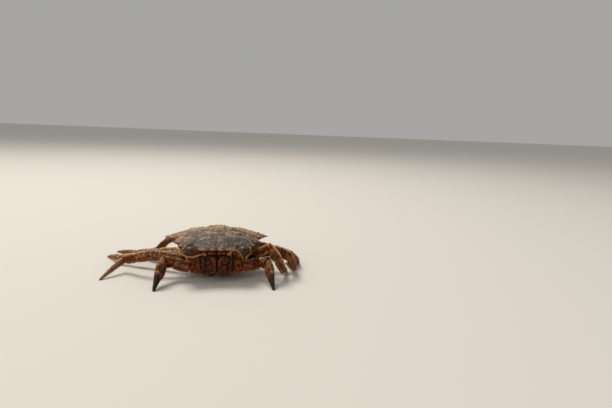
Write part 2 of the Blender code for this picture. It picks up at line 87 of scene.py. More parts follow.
TOP_BEVEL, UNDER_BEVEL = 0.30, 0.20  # how much thinner the very edge is
BEVEL_REACH = 0.7

# The swellings of the back and the grooves between them: distance from the
# middle line, place from the front, the two reaches, and the height.
BACK_REGIONS = (
    (0.0, 3.4, 0.6, 3.0, -0.22), (4.2, 8.6, 2.9, 3.0, 0.42), (0.0, 12.0, 1.7, 3.6, 0.26),
    (10.8, 8.0, 2.5, 2.2, 0.34), (13.6, 13.4, 3.4, 2.2, 0.40), (9.6, 19.0, 3.1, 3.4, 0.42),
    (7.6, 26.0, 3.1, 2.8, 0.26), (0.0, 21.4, 3.0, 2.8, 0.42), (0.0, 27.4, 2.4, 2.0, 0.22),
    (6.4, 13.9, 3.2, 0.8, -0.36), (3.1, 17.2, 0.8, 2.0, -0.36), (4.9, 22.4, 0.8, 3.6, -0.32),
    (11.6, 10.9, 2.8, 0.7, -0.28), (12.6, 17.2, 2.0, 0.6, -0.20),
)

# The body under the carapace, by height: half width, front and rear.
BODY_LEVELS = (
    (12.3, 15.2, 3.9, 30.6), (11.2, 15.3, 3.0, 30.8), (9.6, 12.9, 2.7, 29.8),
    (7.0, 11.8, 2.7, 28.6), (4.8, 11.2, 2.9, 27.5), (3.4, 10.3, 3.3, 26.2),
    (2.8, 8.6, 4.6, 24.8),
)
MOUTH_HALF_WIDTH = 6.1
MOUTH_LOW_Z = 3.0
MOUTH_HIGH_Z = 11.2
BREAST_GROOVES_Y = (7.6, 13.8, 18.0, 22.3)  # between the plates of the breast

# The tail flap: its middle line from under the carapace's rear, as (y, z),
# and how wide it is along that line.
ABDOMEN_THICKNESS = 0.9
ABDOMEN_FLAT_Z = 2.05
ABDOMEN_LINE = (
    (31.7, 12.0), (31.4, 10.6), (30.4, 9.2), (29.4, 7.0), (28.4, 4.8), (27.1, 3.0),
    (25.0, ABDOMEN_FLAT_Z), (11.0, ABDOMEN_FLAT_Z))
ABDOMEN_HALF_WIDTHS = ((0, 4.6), (0.25, 5.2), (0.45, 5.1), (0.75, 3.6), (0.95, 2.0), (1, 1.2))
ABDOMEN_WRAP = 0.015  # how it curves round the rear wall, per mm from the middle
ABDOMEN_JOINTS = (0.09, 0.19, 0.31, 0.44, 0.58, 0.74)

EYE_RADIUS = 2.0
EYE_CENTRE = (9.6, 1.1, 12.7)
STALK_ROOT = (6.0, 1.7, 11.9)
MOUTH_PLATE_Y = 1.7

# Walking leg segments of the second pair: length, height and thickness.
SEGMENTS = ("merus", "carpus", "propodus", "dactylus")
LEG_LENGTHS = (13.2, 4.8, 7.2, 12.6)
LEG_HEIGHTS = (3.5, 3.9, 3.7, 2.7)
LEG_WIDTHS = (2.3, 2.3, 2.0, 1.6)
PAIR_SCALE = {2: 1.0, 3: 1.15, 4: 1.13, 5: 0.90}
PAIR_THICKNESS = {2: 1.0, 3: 1.0, 4: 0.95, 5: 0.78}
PAIR_ROOT = {
    2: (13.3, 11.6, 7.5), 3: (13.3, 16.0, 7.4), 4: (12.8, 20.4, 7.6), 5: (11.0, 24.4, 8.2)}
CLAW_LENGTHS = (6.6, 4.2, 12.6)
CLAW_HEIGHTS = (4.2, 4.1, 5.0)
CLAW_WIDTHS = (2.9, 3.1, 3.3)
CLAW_ROOT = (9.8, 5.4, 5.2)
KNUCKLE = 0.44  # where the fingers begin, as a part of the claw's length
TIP_HEIGHT = 0.2
DACTYLUS_BOW, CLAW_BOW = 0.35, 0.5  # how far they arch upwards

# The pose: azimuth from the crab's own side (0 straight out, 90 straight back)
# and rise above the level, in degrees. The last segment reaches the floor.
POSE = {
    ("left", 1): ((8, 13), (-46, 13), (-81,)),
    ("right", 1): ((10, 16), (-36, 22), (-74,)),
    ("left", 2): ((-56, 28), (-8, -55), (51, -51), (76,)),
    ("right", 2): ((1, 6), (28, -20), (34, -17), (-54,)),
    ("left", 3): ((-45, 17), (16, -34), (57, -45), (97,)),
    ("right", 3): ((24, -9), (25, -8), (25, -10), (55,)),
    ("left", 4): ((-27, 5), (34, -26), (54, -35), (86,)),
    ("right", 4): ((38, -11), (39, -11), (39, -12), (42,)),
    ("left", 5): ((48, -6), (10, -24), (48, -20), (62,)),
    ("right", 5): ((43, 10), (51, -29), (20, -43), (57,)),
}
COXA_AZIMUTH = {1: -25, 2: -5, 3: 0, 4: 12, 5: 30}
COXA_RISE = 5
COXA_YIELD = 0.45  # how far a coxa turns with its limb, 0 to 1
COXA_LENGTH = 5.0

# How full a segment is along its length.
FULLNESS = {
    "merus": ((0, 0.78), (0.12, 0.84), (0.5, 1.0), (0.85, 1.0), (1, 0.86)),
    "carpus": ((0, 0.72), (0.25, 0.88), (0.6, 1.0), (1, 0.95)),
    "propodus": ((0, 0.88), (0.3, 1.0), (0.7, 0.94), (1, 0.80)),
    "dactylus": ((0, 1.0), (0.3, 0.84), (0.75, 0.50), (0.93, 0.30), (1, 0.20)),
    "claw": (
        (0, 0.60), (0.06, 0.70), (0.16, 0.88), (0.30, 0.99), (0.40, 0.99), (0.5, 0.86),
        (0.65, 0.66), (0.8, 0.46), (0.93, 0.30), (1, 0.22)),
}
# A segment's ends, as (distance, how full): its soft neck from the joint, and
# from its far end back, the lip and hollow for the next segment, or the tip.
NECK = ((-0.55, 0.0), (-0.5, 0.5), (0.12, 0.62), (0.18, 0.84), (0.36, 0.97))
HOLLOW = ((0.45, 1.0), (0.2, 1.03), (0.06, 0.97), (0.12, 0.84), (0.5, 0.66), (0.55, 0.0))
TIP = ((0.1, 1.0), (0.0, 0.6), (0.0, 0.0))
CLAW_WIDTH_STOPS = ((0, 0.66), (0.16, 0.90), (0.36, 1.0), (0.5, 0.72), (0.8, 0.45), (1, 0.26))
# The ridges along each part: where round it, in degrees from its outer side
# towards the top, how wide, and how high as a part of its half height.
RIDGES = {
    "merus": ((90, 15, 0.12), (-50, 14, 0.07), (-130, 14, 0.07), (0, 34, 0.03)),
    "carpus": ((56, 13, 0.10), (124, 13, 0.10), (-90, 26, 0.04), (0, 18, 0.04)),
    "propodus": ((60, 12, 0.10), (120, 12, 0.10), (-62, 13, 0.07), (-118, 13, 0.07)),
    "dactylus": (
        (90, 13, 0.12), (28, 11, 0.09), (152, 11, 0.09), (-28, 11, 0.08), (-152, 11, 0.08),
        (-90, 13, 0.10)),
    "claw": (
        (90, 12, 0.08), (56, 10, 0.06), (24, 9, 0.05), (-8, 9, 0.03), (-40, 9, 0.03),
        (124, 10, 0.06), (156, 9, 0.05), (188, 9, 0.03), (220, 9, 0.03)),
    "coxa": ((90, 20, 0.06), (-60, 20, 0.05), (-120, 20, 0.05)),
    "mouth": ((55, 14, 0.12), (125, 14, 0.12), (0, 12, 0.03), (180, 12, 0.03)),
}
# Beads or small spines along the ridges: spacing and height.
BEADS = {
    "merus": (1.05, 0.22), "carpus": (0.95, 0.20), "propodus": (0.80, 0.12),
    "dactylus": (0.60, 0.03), "claw": (0.75, 0.17), "coxa": (0.9, 0.08), "mouth": (0.7, 0.10),
}

# Grains of the shell: the cell each one stands in, its reach as a part of the
# cell, and the share of cells left bare.
LARGE_GRAIN, SMALL_GRAIN = (1.25, 0.34, 0.25), (0.68, 0.36, 0.15)
BODY_GRAIN, FLAP_GRAIN = (0.85, 0.36, 0.2), (0.6, 0.36, 0.3)
LIMB_GRAIN, KNOB_GRAIN = (0.62, 0.36, 0.3), (0.55, 0.36, 0.35)

# Bristles: how many, mean length, how far they stand off the skin (0 flat, 1
# upright) and radius at the root. A limb's lots say how many to a square mm.
BRISTLES = {
    "back": (11000, 0.30, 0.22, 0.026), "rim": (5000, 0.42, 0.20, 0.024),
    "body": (13000, 0.60, 0.28, 0.030), "mouth": (3000, 0.50, 0.30, 0.026),
    "pile": (10, 0.36, 0.12, 0.024), "fringe": (11, 1.25, 0.40, 0.032),
}
FRINGE_ABOVE = 0.50  # length of the fringe's bristles on a limb's upper side
SHORTEST, LONGEST = 0.6, 1.15  # as parts of the mean length
THINNEST, THICKEST = 0.7, 1.3  # as parts of the radius
LIE_SPREAD, STAND_SPREAD = 0.28, 0.10  # how unevenly they lie and stand
ROOT_DEPTH = 0.04  # how deep they start in the skin
BRISTLE_CURL = 0.35
SCATTER = 0.4  # how far a root may be from a face's middle, as a part of its size
LEAST_STAND = 0.08
PATCH_RADIUS = 0.0015  # of each bristle's patch on the map OFBake
STRIP_MARGIN = 0.05  # above and below what a piece covers in its strip of the map

# ------------------------------------------------------- the camera and lights
CAMERA_PLACE = (2.51, -159.94, 57.96)  # in mm, from the crab's own origin
CAMERA_TURN = (80.591, -2.302, -10.229)  # in degrees
CAMERA_LENS, SENSOR_WIDTH = 26.0, 36.0
FLOOR_COLOUR = "#dedad3"
WORLD_COLOUR, WORLD_STRENGTH = "#f2f1ee", 0.43
# Soft square lights: place and size in metres, power and colour.
SOFTBOXES = {
    "overhead": ((-0.22, 0.30, 0.85), 0.40, 6.0, "#fff8ee"),
    "side_fill": ((-0.50, -0.60, 0.40), 0.40, 1.5, "#fbf6ee"),
}

# ---------------------------------------------------------- colours, as sRGB hex
BACK = {
    "dark": "#352d28", "middle": "#564539", "pale": "#7c5d42", "speck": "#2a1712",
    "fleck": "#b59a7a", "grain": "#b8976a", "ridge": "#bf9b76", "soft": "#753a22",
    "pigment": "#2a211c"}
LEG = {
    "dark": "#3e1002", "middle": "#7c3004", "pale": "#b0661e", "speck": "#240802",
    "fleck": "#c87818", "grain": "#c07f34", "ridge": "#ecca9c", "soft": "#8c3e0c",
    "pigment": "#2e0a03"}
CLAW = {
    **LEG, "dark": "#2a1d18", "middle": "#70340f", "pale": "#a8692a", "fleck": "#c08c52",
    "ridge": "#d6aa82", "pigment": "#1d1615"}
BODY = {
    "dark": "#320c02", "middle": "#602004", "pale": "#92440e", "speck": "#170602",
    "fleck": "#b66414", "grain": "#9a5018", "ridge": "#c48a4c", "soft": "#9a3a08",
    "pigment": "#140702"}
MOUTH = {
    **BODY, "dark": "#150602", "middle": "#340f02", "pale": "#662604", "fleck": "#8a3d0c",
    "soft": "#80300a", "pigment": "#0d0401"}
FEELER = {**LEG, "middle": "#8f6332", "dark": "#6b4220", "fleck": "#a87c44", "ridge": "#c9985a"}
BRISTLE = {"root": "#762c04", "tip": "#e88a1c"}
# The cornea's upper colour is a painted highlight on the top of the eye.
CORNEA = {"dark": "#20120a", "pale": "#4b341c", "upper": "#645f59", "rim": "#6a3a1a"}

# Shells: name, colours, how wide the blotches are in mm, and shine.
SHELLS = {
    "back": ("mottled_carapace_cuticle", BACK, 3.0, 0.5),
    "leg": ("banded_leg_cuticle", LEG, 2.4, 0.22),
    "claw": ("claw_cuticle", CLAW, 1.8, 0.22),
    "body": ("dark_underside_cuticle", BODY, 2.2, 0.22),
    "mouth": ("mouth_plate_cuticle", MOUTH, 1.6, 0.25),
    "feeler": ("ringed_feeler_cuticle", FEELER, 1.2, 0.22),
}
# Their coats: name, colours, and how much of the bristles' own colour shows.
COATS = {
    "back": ("carapace_bristles", BACK, 0.35), "leg": ("leg_bristles", LEG, 0.65),
    "body": ("underside_bristles", BODY, 0.6), "mouth": ("mouth_bristles", MOUTH, 0.35),
}


# ------------------------------------------------------------- small geometry
def blend(first, second, share):
    """The value that share of the way from the first to the second."""
    return first + (second - first) * share


def ramp(low, high, value):
    """0 at low and 1 at high, with a smooth way between. Low may be the larger."""
    share = min(max((value - low) / (high - low), 0.0), 1.0)
    return share * share * (3.0 - 2.0 * share)


def hump(value, middle, reach):
    """1 at the middle, fading away over the reach."""
    return math.exp(-((value - middle) / reach) ** 2)


def rounded(value, power):
    """A sine or cosine to a power, with its own sign: below 1 it is squarer."""
    return math.copysign(abs(value) ** power, value)


def through(stops, position):
    """The value at a position on a line through (position, value) stops."""
    for (low, low_value), (high, high_value) in zip(stops, stops[1:]):
        if position <= high:
            return blend(low_value, high_value, max((position - low) / (high - low), 0.0))
    return stops[-1][1]


def waves(point, size):
    """Gentle waves in the shell, that many millimetres across."""
    return noise.fractal(point / size, 1.0, 2.0, 3)


def grains(point, cell, reach, sparse):
    """How high a grain of the shell stands here, 0 to 1, on cells of that size."""
    distances, centres = noise.voronoi(point / cell)
    chance = noise.cell(centres[0] * 5.3) * 0.5 + 0.5
    if chance < sparse:
        return 0.0
    size = reach * (0.75 + 0.5 * chance)
    return max(0.0, 1.0 - (distances[0] / size) ** 2)


def evened(rows, count, rounds=2):
    """A line of rows, spread evenly along its length and slightly smoothed."""
    rows = np.array(rows, float)
    steps = np.linalg.norm(np.diff(rows, axis=0), axis=1)
    along = np.concatenate(([0.0], np.cumsum(steps)))
    places = np.linspace(0.0, along[-1], count)
    table = np.column_stack([np.interp(places, along, column) for column in rows.T])
    for _ in range(rounds):
        table[1:-1] = (table[:-2] + 2 * table[1:-1] + table[2:]) / 4
    return table


def skin(sides, rings, place, look):
    """A closed shell. place(side, ring) says where each point of a grid goes. The
    grid's two long edges meet in a seam and its ends close to a point.

    look(point, normal, turn, run) gives how far the skin is lifted there, in mm,
    and its marks, which are grain, ridge, soft skin and dark pigment; in places
    the ridge mark is painted light and the dark and soft marks painted shade.
    Turn and run are how far round and along the shell the point is, 0 to 1."""
    bm = bmesh.new()
    bmesh.ops.create_grid(bm, x_segments=sides, y_segments=rings, size=0.5)
    turn = bm.verts.layers.float.new("turn")
    run = bm.verts.layers.float.new("run")
    marks = bm.verts.layers.float_color.new("marks")
    edge = [vert for vert in bm.verts if vert.is_boundary]
    for vert in bm.verts:
        side = round((vert.co.x + 0.5) * sides)
        ring = round((vert.co.y + 0.5) * rings)
        vert[turn] = side / sides
        vert[run] = ring / rings
        vert.co = place(side % sides, ring)
    bmesh.ops.remove_doubles(bm, verts=edge, dist=MERGE_DISTANCE)
    bm.normal_update()
    bmesh.ops.recalc_face_normals(bm, faces=bm.faces)
    bm.normal_update()
    lifts = []
    for vert in bm.verts:
        lift, found = look(vert.co, vert.normal, vert[turn], vert[run])
        lifts.append(vert.normal * lift)
        vert[marks] = [min(max(value, 0.0), 1.0) for value in found]
    for vert, lift in zip(bm.verts, lifts):
        vert.co += lift
    return bm


def meshed(bm, name):
    mesh = bpy.data.meshes.new(name)
    bm.to_mesh(mesh)
    bm.free()
    return mesh


def joined(parts):
    """Several bmeshes as one."""
    whole = parts[0]
    for part in parts[1:]:
        mesh = meshed(part, "part")
        whole.from_mesh(mesh)
        bpy.data.meshes.remove(mesh)
    return whole


def placed(name, data):
    """A new object in the scene."""
    item = bpy.data.objects.new(name, data)
    bpy.context.scene.collection.objects.link(item)
    return item


def added(mesh, name, material, slot, *nodes):
    """Makes the piece from a mesh, in place of the CAD nodes named."""
    mesh.shade_smooth()
    mesh.materials.append(material)
    piece = placed(name, mesh)
    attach(piece, "root")
    if nodes:
        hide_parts(*nodes)
    return piece


def finished(bm, name, material, slot, *nodes):
    """The same from a bmesh in mm, which it moves to its place in the frame."""
    for vert in bm.verts:
        vert.co = ORIGIN + vert.co * MM
        vert.co.z = max(vert.co.z, SHELL_CLEARANCE)
    return added(meshed(bm, name), name, material, slot, *nodes)


# ------------------------------------------------------------------- materials
def linear(code):
    """An sRGB hex colour as the linear RGBA that shaders use."""
    parts = [int(code[start:start + 2], 16) / 255 for start in (1, 3, 5)]
    return (*[
        part / 12.92 if part <= 0.04045 else ((part + 0.055) / 1.055) ** 2.4
        for part in parts], 1.0)


def plug(tree, node, inputs):
    """Gives a node its inputs, each one a value or a link."""
    for socket, value in inputs.items():
        if isinstance(value, bpy.types.NodeSocket):
            tree.links.new(value, node.inputs[socket])
        else:
            node.inputs[socket].default_value = value


def add(tree, kind, inputs=None, **settings):
    """Adds a shader node with its settings, and its inputs as values or links."""
    made = tree.nodes.new("ShaderNode" + kind)
    for name, value in settings.items():
        setattr(made, name, value)
    plug(tree, made, inputs or {})
    return made


def new_material(name):
    material = bpy.data.materials.new(name)
    material.use_nodes = True
    return material, material.node_tree, material.node_tree.nodes["Principled BSDF"]


def marked_material(name):
    """A new material with its tree and shader, the place on the piece, and the
    four marks of its skin."""
    material, tree, shader = new_material(name)
    place = add(tree, "TexCoord").outputs["Object"]
    marks = add(tree, "Attribute", attribute_name="marks")
    parts = add(tree, "SeparateColor", {"Color": marks.outputs["Color"]})
    return material, tree, shader, place, (*parts.outputs, marks.outputs["Alpha"])


def pattern(tree, kind, place, size_mm, **inputs):
    """A noise or cell pattern whose cells are that many millimetres wide."""
    return add(tree, kind, {"Vector": place, "Scale": 1.0 / (size_mm * MM), **inputs})


def tinted(tree, colour, share, over, span=None):
    """A colour with another laid over it by a share, 0 to 1. With a span of (low,
    high, most), the share is 0 at low and most at high."""
    if span:
        share = add(
            tree, "MapRange",
            {"Value": share, "From Min": span[0], "From Max": span[1], "To Max": span[2]},
            interpolation_type="SMOOTHSTEP").outputs["Result"]
    return add(
        tree, "Mix", {0: share, 6: colour, 7: linear(over) if isinstance(over, str) else over},
        data_type="RGBA").outputs[2]


def speckled(tree, place, colour, speck, size_mm, share):
    """A colour with dark spots, one in each cell of that size."""
    cells = pattern(tree, "TexVoronoi", place, size_mm, Randomness=1.0)
    return tinted(tree, colour, cells.outputs["Distance"], speck, (0.33, 0.17, share))


def markings(tree, place, colours, blotch_mm):
    """Blotches from dark to pale, with two sizes of small dark speck and pale
    flecks: skin and bristles both use them, so that their markings agree."""
    blotches = pattern(
        tree, "TexNoise", place, blotch_mm, Detail=5.0, Roughness=0.62,
        Distortion=0.4).outputs["Fac"]
    colour = linear(colours["dark"])
    colour = tinted(tree, colour, blotches, colours["middle"], (0.36, 0.52, 1.0))
    colour = tinted(tree, colour, blotches, colours["pale"], (0.50, 0.68, 1.0))
    for size, share in ((0.30, 0.75), (0.14, 0.55)):
        colour = speckled(tree, place, colour, colours["speck"], blotch_mm * size, share)
    flecks = pattern(tree, "TexNoise", place, blotch_mm * 0.34, Detail=3.0, Roughness=0.6)
    return tinted(tree, colour, flecks.outputs["Fac"], colours["fleck"], (0.56, 0.66, 0.6))


def cuticle(name, colours, blotch_mm, shine):
    """Crab shell: hard calcified skin, finely granular, mottled, a little shiny.
    The marks on the mesh say where it is grained, ridged, soft or darkened."""
    material, tree, shader, place, (grain, ridge, soft, dark) = marked_material(name)
    colour = markings(tree, place, colours, blotch_mm)
    # Patches 0.7 mm across, where the ridges are worn and the gloss differs.
    patches = pattern(tree, "TexNoise", place, 0.7, Detail=3.0).outputs["Fac"]
    wear, roughness = (
        add(tree, "MapRange", {
            "Value": patches, "From Min": 0.3, "From Max": high, "To Min": least,
            "To Max": most}).outputs["Result"]
        for high, least, most in ((0.6, 0.45, 1.0), (0.7, 0.42, 0.66)))
    # The ridge mark is worn ridges and also painted light in places (the crest, the tops of the
    # legs); the dark mark is pigment and also painted shade in places (the grooves and front of
    # the back, the notches, the mouth's hollow).
    worn_ridge_and_painted_light = add(tree, "Math", {0: ridge, 1: wear}, operation="MULTIPLY")
    colour = tinted(tree, colour, worn_ridge_and_painted_light.outputs[0], colours["ridge"])
    colour = tinted(tree, colour, grain, colours["grain"], (0.10, 0.9, 0.75))
    colour = tinted(tree, colour, dark, colours["pigment"], (0.05, 0.95, 0.9))
    colour = tinted(tree, colour, soft, colours["soft"], (0.1, 0.9, 1.0))
    for size, share in ((1.1, 0.45), (0.45, 0.40)):
        colour = speckled(tree, place, colour, colours["speck"], size, share)
    # Granules too small to stand out of the mesh: 0.22 mm grit on 0.5 mm waves.
    grit = pattern(tree, "TexVoronoi", place, 0.22, Randomness=1.0)
    fine = pattern(tree, "TexNoise", place, 0.5, Detail=4.0)
    height = add(
        tree, "Math", {0: grit.outputs["Distance"], 1: -0.6, 2: fine.outputs["Fac"]},
        operation="MULTIPLY_ADD")
    bump = add(
        tree, "Bump", {"Height": height.outputs[0], "Strength": 0.65, "Distance": 0.10 * MM})
    plug(tree, shader, {
        "Base Color": colour, "Roughness": roughness, "Normal": bump.outputs["Normal"],
        "Specular IOR Level": shine})
    return material


def bristle_material(name, colours, share):
    """Setae: stiff rust-brown bristles of chitin, over the skin's own markings.
    Their marks are a shade of their own, which grows towards the tip, and how
    bright and how dark the skin is at the root."""
    material, tree, shader, place, (shade, bright, dark, _) = marked_material(name)
    under = markings(tree, place, colours, 2.6)
    own = tinted(tree, linear(BRISTLE["root"]), shade, BRISTLE["tip"])
    colour = tinted(tree, under, share, own)
    # The skin's dark and bright marks carry over, with the painted shade and painted light among
    # them.
    colour = tinted(tree, colour, dark, colours["pigment"], (0.05, 0.95, 0.75))
    colour = tinted(tree, colour, bright, colours["ridge"], (0.0, 1.0, 0.45))
    plug(tree, shader, {"Base Color": colour, "Roughness": 0.5, "Specular IOR Level": 0.15})
    return material


def cornea_material():
    """The eye's cornea: clear facets over dark pigment, wet and glossy, with a painted highlight
    on its top.
    """
    material, tree, shader, place, (_, upper, rim, _) = marked_material("cornea")
    cloud = pattern(tree, "TexNoise", place, 0.9, Detail=3.0).outputs["Fac"]
    colour = tinted(tree, linear(CORNEA["dark"]), cloud, CORNEA["pale"], (0.35, 0.65, 1.0))
    # Painted highlight: the top of the eye turns pale grey.
    colour = tinted(tree, colour, upper, CORNEA["upper"])
    colour = tinted(tree, colour, rim, CORNEA["rim"])
    # Facets are about 0.03 mm; they are drawn 0.13 mm wide so that they show.
    facets = pattern(tree, "TexVoronoi", place, 0.13, Randomness=0.25)
    bump = add(
        tree, "Bump",
        {"Height": facets.outputs["Distance"], "Strength": 0.35, "Distance": 0.02 * MM},
        invert=True)
    plug(tree, shader, {
        "Base Color": colour, "Normal": bump.outputs["Normal"], "Roughness": 0.30,
        "Specular IOR Level": 0.20, "Coat Weight": 0.18, "Coat Roughness": 0.04, "IOR": 1.45})
    return material


# -------------------------------------------------------------- the carapace
BACK_SIDES = 720
DOME_RINGS, TOOTH_RINGS, RIM_RINGS, UNDER_RINGS = 82, 24, 6, 14
DOME_SHARE = 0.93  # the part of the way to the worn edge that the dome covers
# The teeth stand between the worn edge and the edge itself. The rounded rim
# begins at the first of these parts of that way, and covers the second.
RIM_START, RIM_REACH = 0.97, 0.03
UNDER_SHARE, TEETH_SHARE = 0.85, 0.15  # of the underside, from its middle


def toothed_edge(count):
    """The carapace's edge as evenly spaced places, from the front middle."""
    half = [Vector((x * CARAPACE_WIDTH / 2, y * CARAPACE_LENGTH)) for x, y in HALF_EDGE]
    fine = []
    for first, second in zip(half, half[1:]):
        length = (second - first).length
        outward = Vector((second.y - first.y, first.x - second.x)) / length
        saw = DENTICLE_HEIGHT * ramp(1.2, 2.4, length)
        steps = max(int(length / EDGE_STEP), 2)
        for step in range(steps):
            share = step / steps
            arch = math.sin(math.pi * share)
            tooth = abs(math.sin(math.pi * share * round(length / DENTICLE_SPACING)))
            fine.append(first.lerp(second, share) + outward * arch * (0.03 * length + saw * tooth))
    fine.append(half[-1])
    mirrored = [Vector((-place.x, place.y)) for place in reversed(fine[1:-1])]
    closed = [*fine, *mirrored, fine[0]]
    return evened(closed, count + 1, 0)[:-1]


def worn(edge, rounds):
    """The same closed line with its teeth worn away."""
    for _ in range(rounds):
        edge = (np.roll(edge, 1, 0) + 2 * edge + np.roll(edge, -1, 0)) / 4
    return edge


def edge_height(y):
    """Height of the carapace's edge: it rises to the lateral spines."""
    spine_y = 0.4 * CARAPACE_LENGTH
    if y < spine_y:
        return blend(FRONT_Z, SPINE_Z, ramp(0.0, spine_y, y))
    return blend(SPINE_Z, REAR_Z, ramp(spine_y, CARAPACE_LENGTH, y))


def region_relief(x, y):
    """How far the back's regions and grooves stand out at a place."""
    return sum(
        height * hump(abs(x), across, reach_x) * hump(y, along, reach_y)
        for across, along, reach_x, reach_y, height in BACK_REGIONS)


def carapace_bmesh():
    """A thin domed plate: its top runs out to the toothed edge, over a rounded
    rim, and back underneath."""
    edge = toothed_edge(BACK_SIDES)
    spacing = np.linalg.norm(edge[1] - edge[0])
    inner = worn(edge, int(2 * (TOOTH_DEPTH / spacing) ** 2))
    centre = Vector((0.0, CARAPACE_CENTRE_Y))
    edge = [Vector(place) for place in edge]
    inner = [centre + (Vector(place) - centre) * DOME_SHARE for place in inner]
    rim_start = DOME_RINGS + TOOTH_RINGS
    rim_end = rim_start + RIM_RINGS
    rings = rim_end + UNDER_RINGS
    thin = (EDGE_THICKNESS - TOP_BEVEL - UNDER_BEVEL) / 2
    tree = KDTree(len(edge))
    for index, spot in enumerate(edge):
        tree.insert((spot.x, spot.y, 0.0), index)
    tree.balance()

    def bevel(spot):
        """1 at the edge, fading inwards, so that each tooth is a low roof."""
        return math.exp(-(tree.find((spot.x, spot.y, 0.0))[2] / BEVEL_REACH) ** 1.4)

    def place(side, ring):
        rim = edge_height(edge[side].y)
        if ring <= DOME_RINGS:
            share = DOME_SHARE * ring / DOME_RINGS
            spot = centre.lerp(inner[side], ring / DOME_RINGS)
        elif ring <= rim_start:
            out = (ring - DOME_RINGS) / TOOTH_RINGS
            share = blend(DOME_SHARE, 1.0, out)
            spot = inner[side].lerp(edge[side], out * RIM_START)
        elif ring <= rim_end:
            turn = math.pi * (0.5 - (ring - rim_start) / RIM_RINGS)
            spot = inner[side].lerp(edge[side], RIM_START + RIM_REACH * math.cos(turn))
            return Vector((spot.x, spot.y, rim - TOP_BEVEL - thin + thin * math.sin(turn)))
        else:
            share = (rings - ring) / UNDER_RINGS
            if share < UNDER_SHARE:
                spot = centre.lerp(inner[side], share / UNDER_SHARE)
            else:
                out = (share - UNDER_SHARE) / TEETH_SHARE
                spot = inner[side].lerp(edge[side], out * RIM_START)
            inside = ramp(1.0, 0.62, share)
            low = blend(rim - EDGE_THICKNESS + UNDER_BEVEL * bevel(spot), PLATE_FLOOR_Z, inside)
            return Vector((spot.x, spot.y, low))
        height = blend(CREST_Z, rim, share ** 1.7)
        height += region_relief(spot.x, spot.y) * (1.0 - share ** 5)
        if ring > DOME_RINGS - 20:
            height -= TOP_BEVEL * bevel(spot)
        return Vector((spot.x, spot.y, height))

    mean = worn(np.array(edge), 60)

    def look(point, normal, turn, run):
        ring = run * rings
        side = round(turn * BACK_SIDES) % BACK_SIDES
        tip = ((edge[side] - centre).length - (Vector(mean[side]) - centre).length) / 0.6
        away = tree.find((point.x, point.y, 0.0))[2] if ring > DOME_RINGS - 10 else 9.0
        if ring > rim_end:
            return 0.0, (0.0, 0.0, 0.5, 0.6)
        relief = region_relief(point.x, point.y)
        rows = noise.noise(Vector((point.x / 2.5, point.y / 1.5, 4.0)))
        crowd = ramp(-0.25, 0.35, relief * 1.2 + rows)
        fade = 1.0 - ramp(rim_start - 3, rim_start + 2, ring)
        large = grains(point, *LARGE_GRAIN) * crowd * fade
        small = grains(point + Vector((9.0, 0.0, 0.0)), *SMALL_GRAIN) * fade
        swell = waves(point, 2.4) * 0.09 * fade
        rim = ramp(rim_start - 10, rim_start - 1, ring)
        brow = hump(away, 0.45, 0.45) * hump(abs(point.x), EYE_CENTRE[0], 2.6)
        brow *= ramp(7.0, 5.0, point.y)
        front = ramp(5.0, 3.0, point.y) * hump(point.x, 0.0, 8.0)
        lip = front * hump(away, 0.50, 0.35)
        lift = 0.38 * large + 0.16 * small + swell + 0.55 * brow + 0.18 * lip
        # Patches follow the back's relief with noise: the grooves come out darker, as painted
        # shade, and the swellings paler.
        patches = relief + 0.6 * rows + 0.55 * noise.noise(point / 1.2 + Vector((7.0, 0.0, 0.0)))
        # The front of the back is painted darker and less cream: partly its own darker colour,
        # partly painted shade on the slope that faces away from the light.
        front_tone_and_shade = ramp(15.0, 4.0, point.y) * ramp(18.0, 10.0, abs(point.x))
        cream = ramp(0.08, 0.60, patches) * (0.85 - 0.45 * front_tone_and_shade)
        # The crest is painted pale tan: partly its own colour, partly painted light on the top of
        # the back; towards the rear it is dimmed in the grooves as painted shade.
        crest_tan_and_light = ramp(11.0, 16.5, point.y) * ramp(28.0, 18.0, point.y)
        crest_tan_and_light *= 0.40 + 0.70 * ramp(-0.40, 0.25, patches)
        crest_tan_and_light *= 1.0 - 0.7 * ramp(0.1, -0.5, relief) * ramp(16.0, 20.0, point.y)
        flank = ramp(8.0, 15.0, abs(point.x)) * ramp(-0.3, 0.3, patches) * 0.6
        # The hollows between the teeth are painted dark red-brown, as painted shade.
        notch_shade = ramp(0.2, -0.7, tip) * ramp(1.2, 0.3, away) * (1 - front)
        edge_line = front * ramp(0.35, 0.1, away)
        # Dark mottling, with painted shade in the grooves and on the front of the back.
        dark = max(0.9 * ramp(0.0, -0.45, patches), (0.78 - 0.80 * patches) * front_tone_and_shade)
        dark *= (1 - rim) * (1 - 0.85 * large) * (1 - 0.4 * small)
        return lift, (
            max(large, 0.5 * small),
            max(cream * (1 - rim), crest_tan_and_light, flank, brow, lip,
                0.8 * rim * ramp(0.0, 1.0, tip)),
            max(0.9 * edge_line, 0.75 * notch_shade * (1 - brow)), max(dark, 0.5 * notch_shade))

    return skin(BACK_SIDES, rings, place, look)


# ------------------------------------------------------------ the body beneath
BODY_SIDES = 320
CAP_RINGS, WALL_RINGS, BREAST_RINGS = 6, 88, 30


